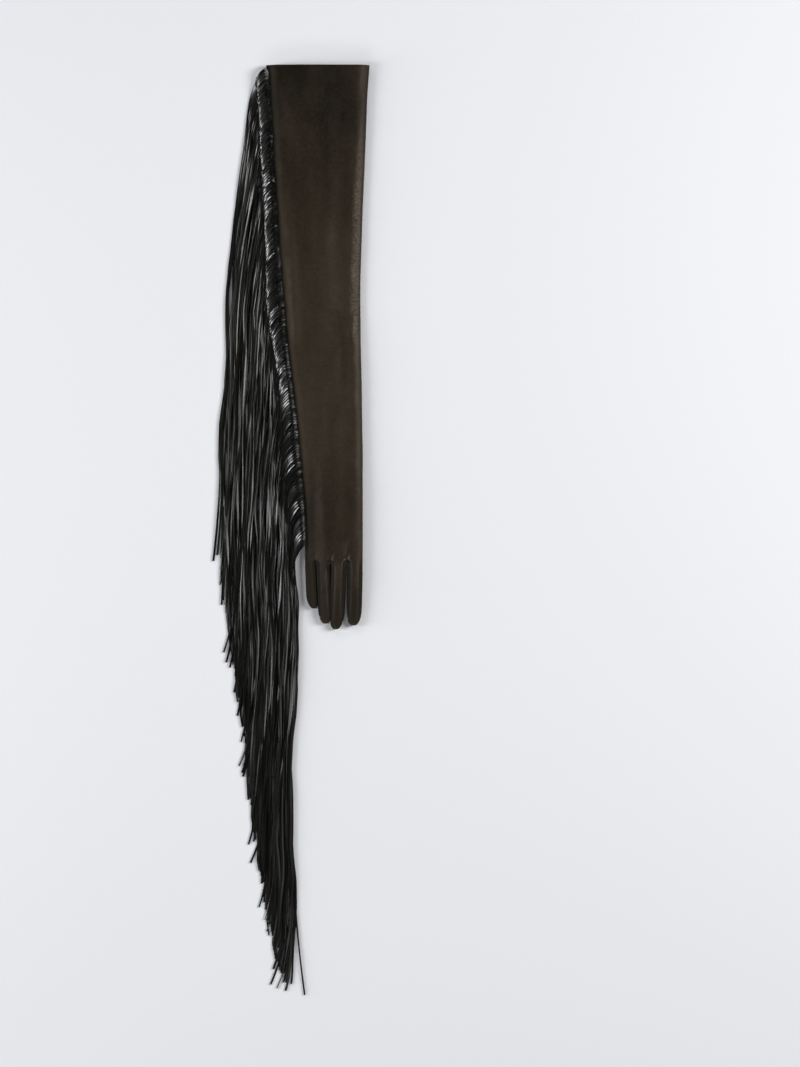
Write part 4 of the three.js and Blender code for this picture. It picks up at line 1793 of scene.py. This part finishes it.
    def turns(self, lines: np.ndarray) -> tuple[np.ndarray, np.ndarray]:
        """How far each section is turned about its strip: on edge in the curl, and free where it hangs.

        Args:
            lines: the middle lines.

        Returns:
            The turns in radians, and how much the curl still holds each step.
        """
        restless = self.chance.beta(1.2, 3.2, self.strips)[:, None]
        turn = self.waves(lines[..., 1], self.each, (180, 420)) * (0.14 + 0.75 * restless)
        turn += self.waves(lines[..., 1], self.each, (450, 1000)) * (0.08 + 0.6 * restless)
        step = np.arange(lines.shape[1])[None, :]
        at_seam = self.seam_lean + self.chance.normal(0, 0.1, self.strips // 2 + 1)[self.each // 2]
        at_seam += self.low_seam_lean * smooth(-lines[:, 0, 1], -210, -110)
        lean = self.leans(lines[:, 0, 1])
        on_edge = lerp(at_seam[:, None], lean[:, None], smooth(step, 1, self.curl_steps * 0.3))
        on_edge = lerp(on_edge, -math.pi / 2, smooth(step, self.curl_steps * 0.66, self.curl_steps * 0.9))
        untwist = self.chance.integers(5, 42, self.strips)[:, None]
        settling = 1 - smooth(step, self.curl_steps - 2, self.curl_steps + untwist)
        return turn * (1 - settling) + on_edge * settling, settling

    def leans(self, start: np.ndarray) -> np.ndarray:
        """How far each strip leans in the curl: groups lean alike, and every second strip lies beneath.

        Args:
            start: where the strips leave the seam.

        Returns:
            The leans, in radians.
        """
        pair = self.each // 2
        lean = mark_at(CURL_LEAN, start) + self.chance.normal(0, self.pair_lean, self.strips)[pair]
        for pairs, amount in self.lean_groups:
            group = pair // pairs
            lean = lean + self.chance.normal(0, amount, group.max() + 1)[group]
        return np.where(self.each % 2 == 1, self.lower_lean, lean)

    def join_strips(self, name: str, rings: np.ndarray) -> bpy.types.Object:
        """Joins the strips' sections with quads and closes both ends of each.

        Args:
            name: the piece's name.
            rings: the sections' corners.

        Returns:
            The piece.
        """
        strips, steps, sides = rings.shape[:3]
        corner = np.arange(strips * steps * sides).reshape(strips, steps, sides)
        following = np.roll(corner, -1, axis=2)
        walls = np.stack([corner[:, :-1], corner[:, 1:], following[:, 1:], following[:, :-1]], axis=-1)
        faces = walls.reshape(-1, 4).tolist() + corner[:, 0].tolist() + corner[:, -1, ::-1].tolist()
        return mesh_object(name, rings, faces)

    def shades(self, lines: np.ndarray) -> np.ndarray:
        """How far each step of each strip is from black, from 0 to 1.

        Args:
            lines: the middle lines.

        Returns:
            The shades.
        """
        base = self.chance.beta(1.6, 3.2, self.strips)[:, None]
        drift = self.waves(lines[..., 1], self.each, (60, 200)) * 0.22
        return np.clip(base + drift, 0, 1)

    def flesh_sides(self, lines: np.ndarray) -> np.ndarray:
        """Where a strip's pale flesh side has turned up, which few do, for a short way.

        Args:
            lines: the middle lines.

        Returns:
            1 where the flesh side is up, or else 0.
        """
        y = lines[..., 1]
        rare = (self.chance.random(self.strips) < self.flesh_share)[:, None]
        middle = self.chance.uniform(-540, -60, self.strips)[:, None]
        patch = np.exp(-(((y - middle) / 14.0) ** 4))
        return np.where(rare, patch, 0.0)

    def polish(self, lines: np.ndarray) -> np.ndarray:
        """How glossy each step of each strip is, most of all in the curl.

        Args:
            lines: the middle lines.

        Returns:
            The gloss, from 0 to 1.
        """
        step = np.arange(lines.shape[1])
        curled = 1 - smooth(step, self.curl_steps * 0.58, self.curl_steps * 0.82)
        curled = curled * (0.35 + 0.65 * smooth(step, 1, 4))
        return np.maximum(curled, mark_at(GLOSS, lines[..., 1]))

    def head_band(self) -> bpy.types.Object:
        """The uncut edge of the band, caught in the seam along the glove's fringe side.

        Returns:
            The band.
        """
        leave_edit()
        bpy.ops.mesh.primitive_plane_add(size=0.002)
        band = name_active("fringe_head_band")
        bpy.ops.object.mode_set(mode="EDIT")
        work = bmesh.from_edit_mesh(band.data)
        heights = np.arange(self.start_y + 2, self.end_y - 3, -6.0)
        for vertex in work.verts:
            side = 0 if vertex.co.x < 0 else 1
            step = 0 if vertex.co.y > 0 else 1
            vertex.co = self.band_point(side, heights[step])
            vertex.select = step == 1
        work.select_flush(True)
        for edge in work.edges:
            edge.select = all(vertex.select for vertex in edge.verts)
        for face in work.faces:
            face.select = False
        bmesh.update_edit_mesh(band.data)
        for y in heights[2:]:
            bpy.ops.mesh.extrude_edges_move(TRANSFORM_OT_translate={"value": (0, -MM, 0)})
            work = bmesh.from_edit_mesh(band.data)
            chosen = [vertex for vertex in work.verts if vertex.select]
            chosen.sort(key=lambda vertex: vertex.co.x)
            for side, vertex in enumerate(chosen):
                vertex.co = self.band_point(side, y)
            bmesh.update_edit_mesh(band.data)
        bpy.ops.mesh.select_all(action="SELECT")
        bpy.ops.mesh.normals_make_consistent(inside=False)
        leave_edit()
        apply_modifier(band, "SOLIDIFY", thickness=1.1 * MM, offset=0)
        apply_modifier(band, "BEVEL", width=0.3 * MM, segments=2)
        store(band, "shade", np.full(len(band.data.vertices), 0.15))
        return band

    def band_point(self, side: int, y: float) -> Vector:
        """A corner of the band: its outer edge, or its inner one by the seam."""
        seam = float(sleeve_at("left", y))
        return Vector((seam + (1.4 if side else -1.8), y, self.seam_height - 1.6)) * MM


@dataclass
class Stitches:
    """Rows of short hand-set stitches, each one half sunk in the leather."""

    length: float = 1.5
    thickness: float = 0.46
    pitch: float = 2.3
    top_y: float = 612.0
    bottom_y: float = -36.0
    far_inset: float = 2.7
    near_inset: float = 2.1
    drop_from: float = 60.0

    def seam_paths(self, shell: GloveShell) -> dict[str, list[list[Vector]]]:
        """The stitched lines: the far side seam, the fringe's seam and the fourchettes' edges.

        Args:
            shell: the glove, which says where its fingers' edges run.

        Returns:
            For each piece's name its lines, in millimetres.
        """
        heights = np.arange(self.top_y, self.bottom_y, -4.0)
        far = [Vector((float(sleeve_at("right", y)) - self.far_inset, y, 0)) for y in heights]
        near = [Vector((float(sleeve_at("left", y)) + self.near_inset, y, 0)) for y in heights]
        edges = []
        for number, finger in enumerate(FINGERS):
            for column, drift in ((1, -0.5), (3, 0.5)):
                # The outer sides of the little finger and the index finger have no fourchette.
                if (number, column) in ((0, 1), (3, 3)):
                    continue
                lane = Lane(FINGER_SPAN * number + column, Level.OVER)
                rows = FINGER_ROWS[: shell.fourchette_rows]
                points = [shell.finger_point(finger, number, lane, row) / MM for row in rows]
                edges.append([Vector((point.x - drift, point.y, 0)) for point in points])
        return {"side_seam_stitches": [far], "fringe_seam_stitches": [near], "fourchette_stitches": edges}

    def sew(
        self,
        name: str,
        paths: Sequence[Sequence[Vector]],
        cloth: Sequence[bpy.types.Object],
        material: bpy.types.Material,
    ) -> bpy.types.Object:
        """Lays stitches along paths.

        Args:
            name: the piece's name.
            paths: rows of points in millimetres, seen from above.
            cloth: the pieces that the stitches lie on.
            material: the thread.

        Returns:
            One joined piece.
        """
        template, faces = self.template()
        trees = [BVHTree.FromObject(piece, bpy.context.evaluated_depsgraph_get()) for piece in cloth]
        points = []
        for path in paths:
            for here, ahead in self.spots(path):
                found = self.drop_on(trees, here)
                if found is None:
                    continue
                place, out = found
                along = Vector((ahead.x - here.x, ahead.y - here.y, 0))
                along = (along - out * along.dot(out)).normalized()
                across = out.cross(along)
                basis = np.array([along, across, out])
                points.append(template @ basis + np.array(place))
        firsts = np.arange(len(points)) * len(template)
        rows = [[index + first for index in face] for first in firsts for face in faces]
        piece = mesh_object(name, np.concatenate(points), rows)
        piece.data.materials.append(material)
        return finish_piece(piece, Slot.GLOVE)

    def template(self) -> tuple[np.ndarray, list[list[int]]]:
        """One stitch along X, in metres.

        Returns:
            The points and the faces.
        """
        leave_edit()
        bpy.ops.mesh.primitive_uv_sphere_add(segments=6, ring_count=5, radius=1)
        stitch = bpy.context.active_object
        bpy.ops.object.mode_set(mode="EDIT")
        bpy.ops.transform.rotate(value=math.pi / 2, orient_axis="Y", center_override=(0, 0, 0))
        half = (self.length / 2 * MM, self.thickness / 2 * MM, self.thickness / 2 * MM)
        bpy.ops.transform.resize(value=half, center_override=(0, 0, 0))
        leave_edit()
        points = places(stitch)
        faces = [list(face.vertices) for face in stitch.data.polygons]
        bpy.data.objects.remove(stitch)
        return points, faces

    def spots(self, path: Sequence[Vector]) -> list[tuple[Vector, Vector]]:
        """Places a pitch apart along a path, each with a point just ahead of it.

        Args:
            path: the line.

        Returns:
            Each place with the one ahead.
        """
        steps = [0.0]
        for before, after in zip(path, path[1:]):
            steps.append(steps[-1] + (after - before).length)
        marks = np.arange(self.pitch / 2, steps[-1] - 0.2, self.pitch)
        axes = [np.array([point[axis] for point in path]) for axis in range(3)]
        here = [np.interp(marks, steps, axis) for axis in axes]
        ahead = [np.interp(marks + 0.2, steps, axis) for axis in axes]
        return [(Vector(row), Vector(after)) for row, after in zip(zip(*here), zip(*ahead))]

    def drop_on(self, trees: Sequence[BVHTree], point: Vector) -> Optional[tuple[Vector, Vector]]:
        """The highest leather under a point, with its outward direction.

        Args:
            trees: the leather pieces.
            point: the place, seen from above.

        Returns:
            The place and the direction, or None where there is no leather.
        """
        best = None
        start = Vector((point.x, point.y, self.drop_from)) * MM
        for tree in trees:
            place, out, _, _ = tree.ray_cast(start, Vector((0, 0, -1)))
            if place is not None and (best is None or place.z > best[0].z):
                best = (place, out)
        return best


@dataclass(frozen=True)
class AreaLamp:
    """A soft rectangular lamp, in metres, aimed at the object."""

    name: str
    place: tuple[float, float, float]
    size: tuple[float, float]
    power: float
    tint: tuple[float, float, float] = (1.0, 1.0, 1.0)


@dataclass
class Studio:
    """A plain pale floor, soft light from both sides, and the camera straight above."""

    view_centre: tuple[float, float] = (0.1443, -0.0033)
    view_height: float = 1.419
    focus_z: float = 0.008
    lens: float = 100.0
    sensor: float = 36.0
    clip_end: float = 50.0
    floor_size: float = 14.0
    floor_z: float = -0.0004
    room_tint: tuple[float, float, float, float] = (0.93, 0.95, 1.0, 1.0)
    room_light: float = 0.035
    lamps: tuple[AreaLamp, ...] = (
        AreaLamp("key_right", (2.4, 0.56, 2.1), (0.7, 1.75), 70.0, (1.0, 0.99, 0.975)),
        AreaLamp("fill_left", (-2.5, -0.02, 1.1), (0.3, 2.8), 56.0, (0.97, 0.985, 1.0)),
        AreaLamp("front_soft", (-0.9, -2.9, 2.0), (3.6, 1.1), 34.0),
        AreaLamp("back_soft", (-0.9, 2.9, 2.0), (3.6, 1.1), 27.0),
    )

    def build(self) -> None:
        """Sets the floor, lamps, surroundings and camera."""
        scene = bpy.context.scene
        scene.view_settings.view_transform = "Standard"
        self.lay_floor()
        for lamp in self.lamps:
            self.hang_lamp(lamp)
        world = bpy.data.worlds.new("soft_room")
        world.use_nodes = True
        background = world.node_tree.nodes["Background"]
        background.inputs["Color"].default_value = self.room_tint
        background.inputs["Strength"].default_value = self.room_light
        scene.world = world
        camera = bpy.data.cameras.new("photo_view")
        camera.lens = self.lens
        camera.sensor_width = self.sensor
        camera.clip_end = self.clip_end
        holder = bpy.data.objects.new("photo_view", camera)
        distance = self.view_height * self.lens / self.sensor
        holder.location = (*self.view_centre, self.focus_z + distance)
        scene.collection.objects.link(holder)
        scene.camera = holder

    def lay_floor(self) -> None:
        """Lays the pale surface that the glove rests on."""
        leave_edit()
        bpy.ops.mesh.primitive_plane_add(size=self.floor_size, location=(0, 0, self.floor_z))
        floor = bpy.context.active_object
        floor.name = "floor"
        bpy.ops.object.transform_apply(location=True)
        floor.data.materials.append(FloorFinish().material("pale_floor"))
        floor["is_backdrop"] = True

    @staticmethod
    def hang_lamp(lamp: AreaLamp) -> None:
        """Places one lamp and turns it to the object.

        Args:
            lamp: the lamp's settings.
        """
        light = bpy.data.lights.new(lamp.name, "AREA")
        light.shape = "RECTANGLE"
        light.size, light.size_y = lamp.size
        light.energy = lamp.power
        light.color = lamp.tint
        holder = bpy.data.objects.new(lamp.name, light)
        holder.location = lamp.place
        aim = -Vector(lamp.place)
        holder.rotation_euler = aim.to_track_quat("-Z", "Y").to_euler()
        bpy.context.scene.collection.objects.link(holder)


def main() -> None:
    """Builds the pieces in order and reports each one."""
    logging.basicConfig(level=logging.INFO, format="%(name)s: %(message)s")
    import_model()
    cad_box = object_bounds()
    Studio().build()
    nappa = NappaFinish().material("dark_brown_nappa")
    flesh = FleshFinish().material("nappa_flesh_side")
    thread = ThreadFinish().material("dark_thread")
    shell = GloveShell()
    skins = shell.build(nappa, flesh)
    Thumb().build(nappa, flesh)
    stitches = Stitches()
    for name, paths in stitches.seam_paths(shell).items():
        stitches.sew(name, paths, skins, thread)
    Fringe().build(FringeFinish().material("black_fringe_leather"))
    boxes = {"cad": cad_box, "visual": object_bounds()}
    for name, box in boxes.items():
        LOG.info("%s box: %s", name, box)


if __name__ == "__main__":
    main()
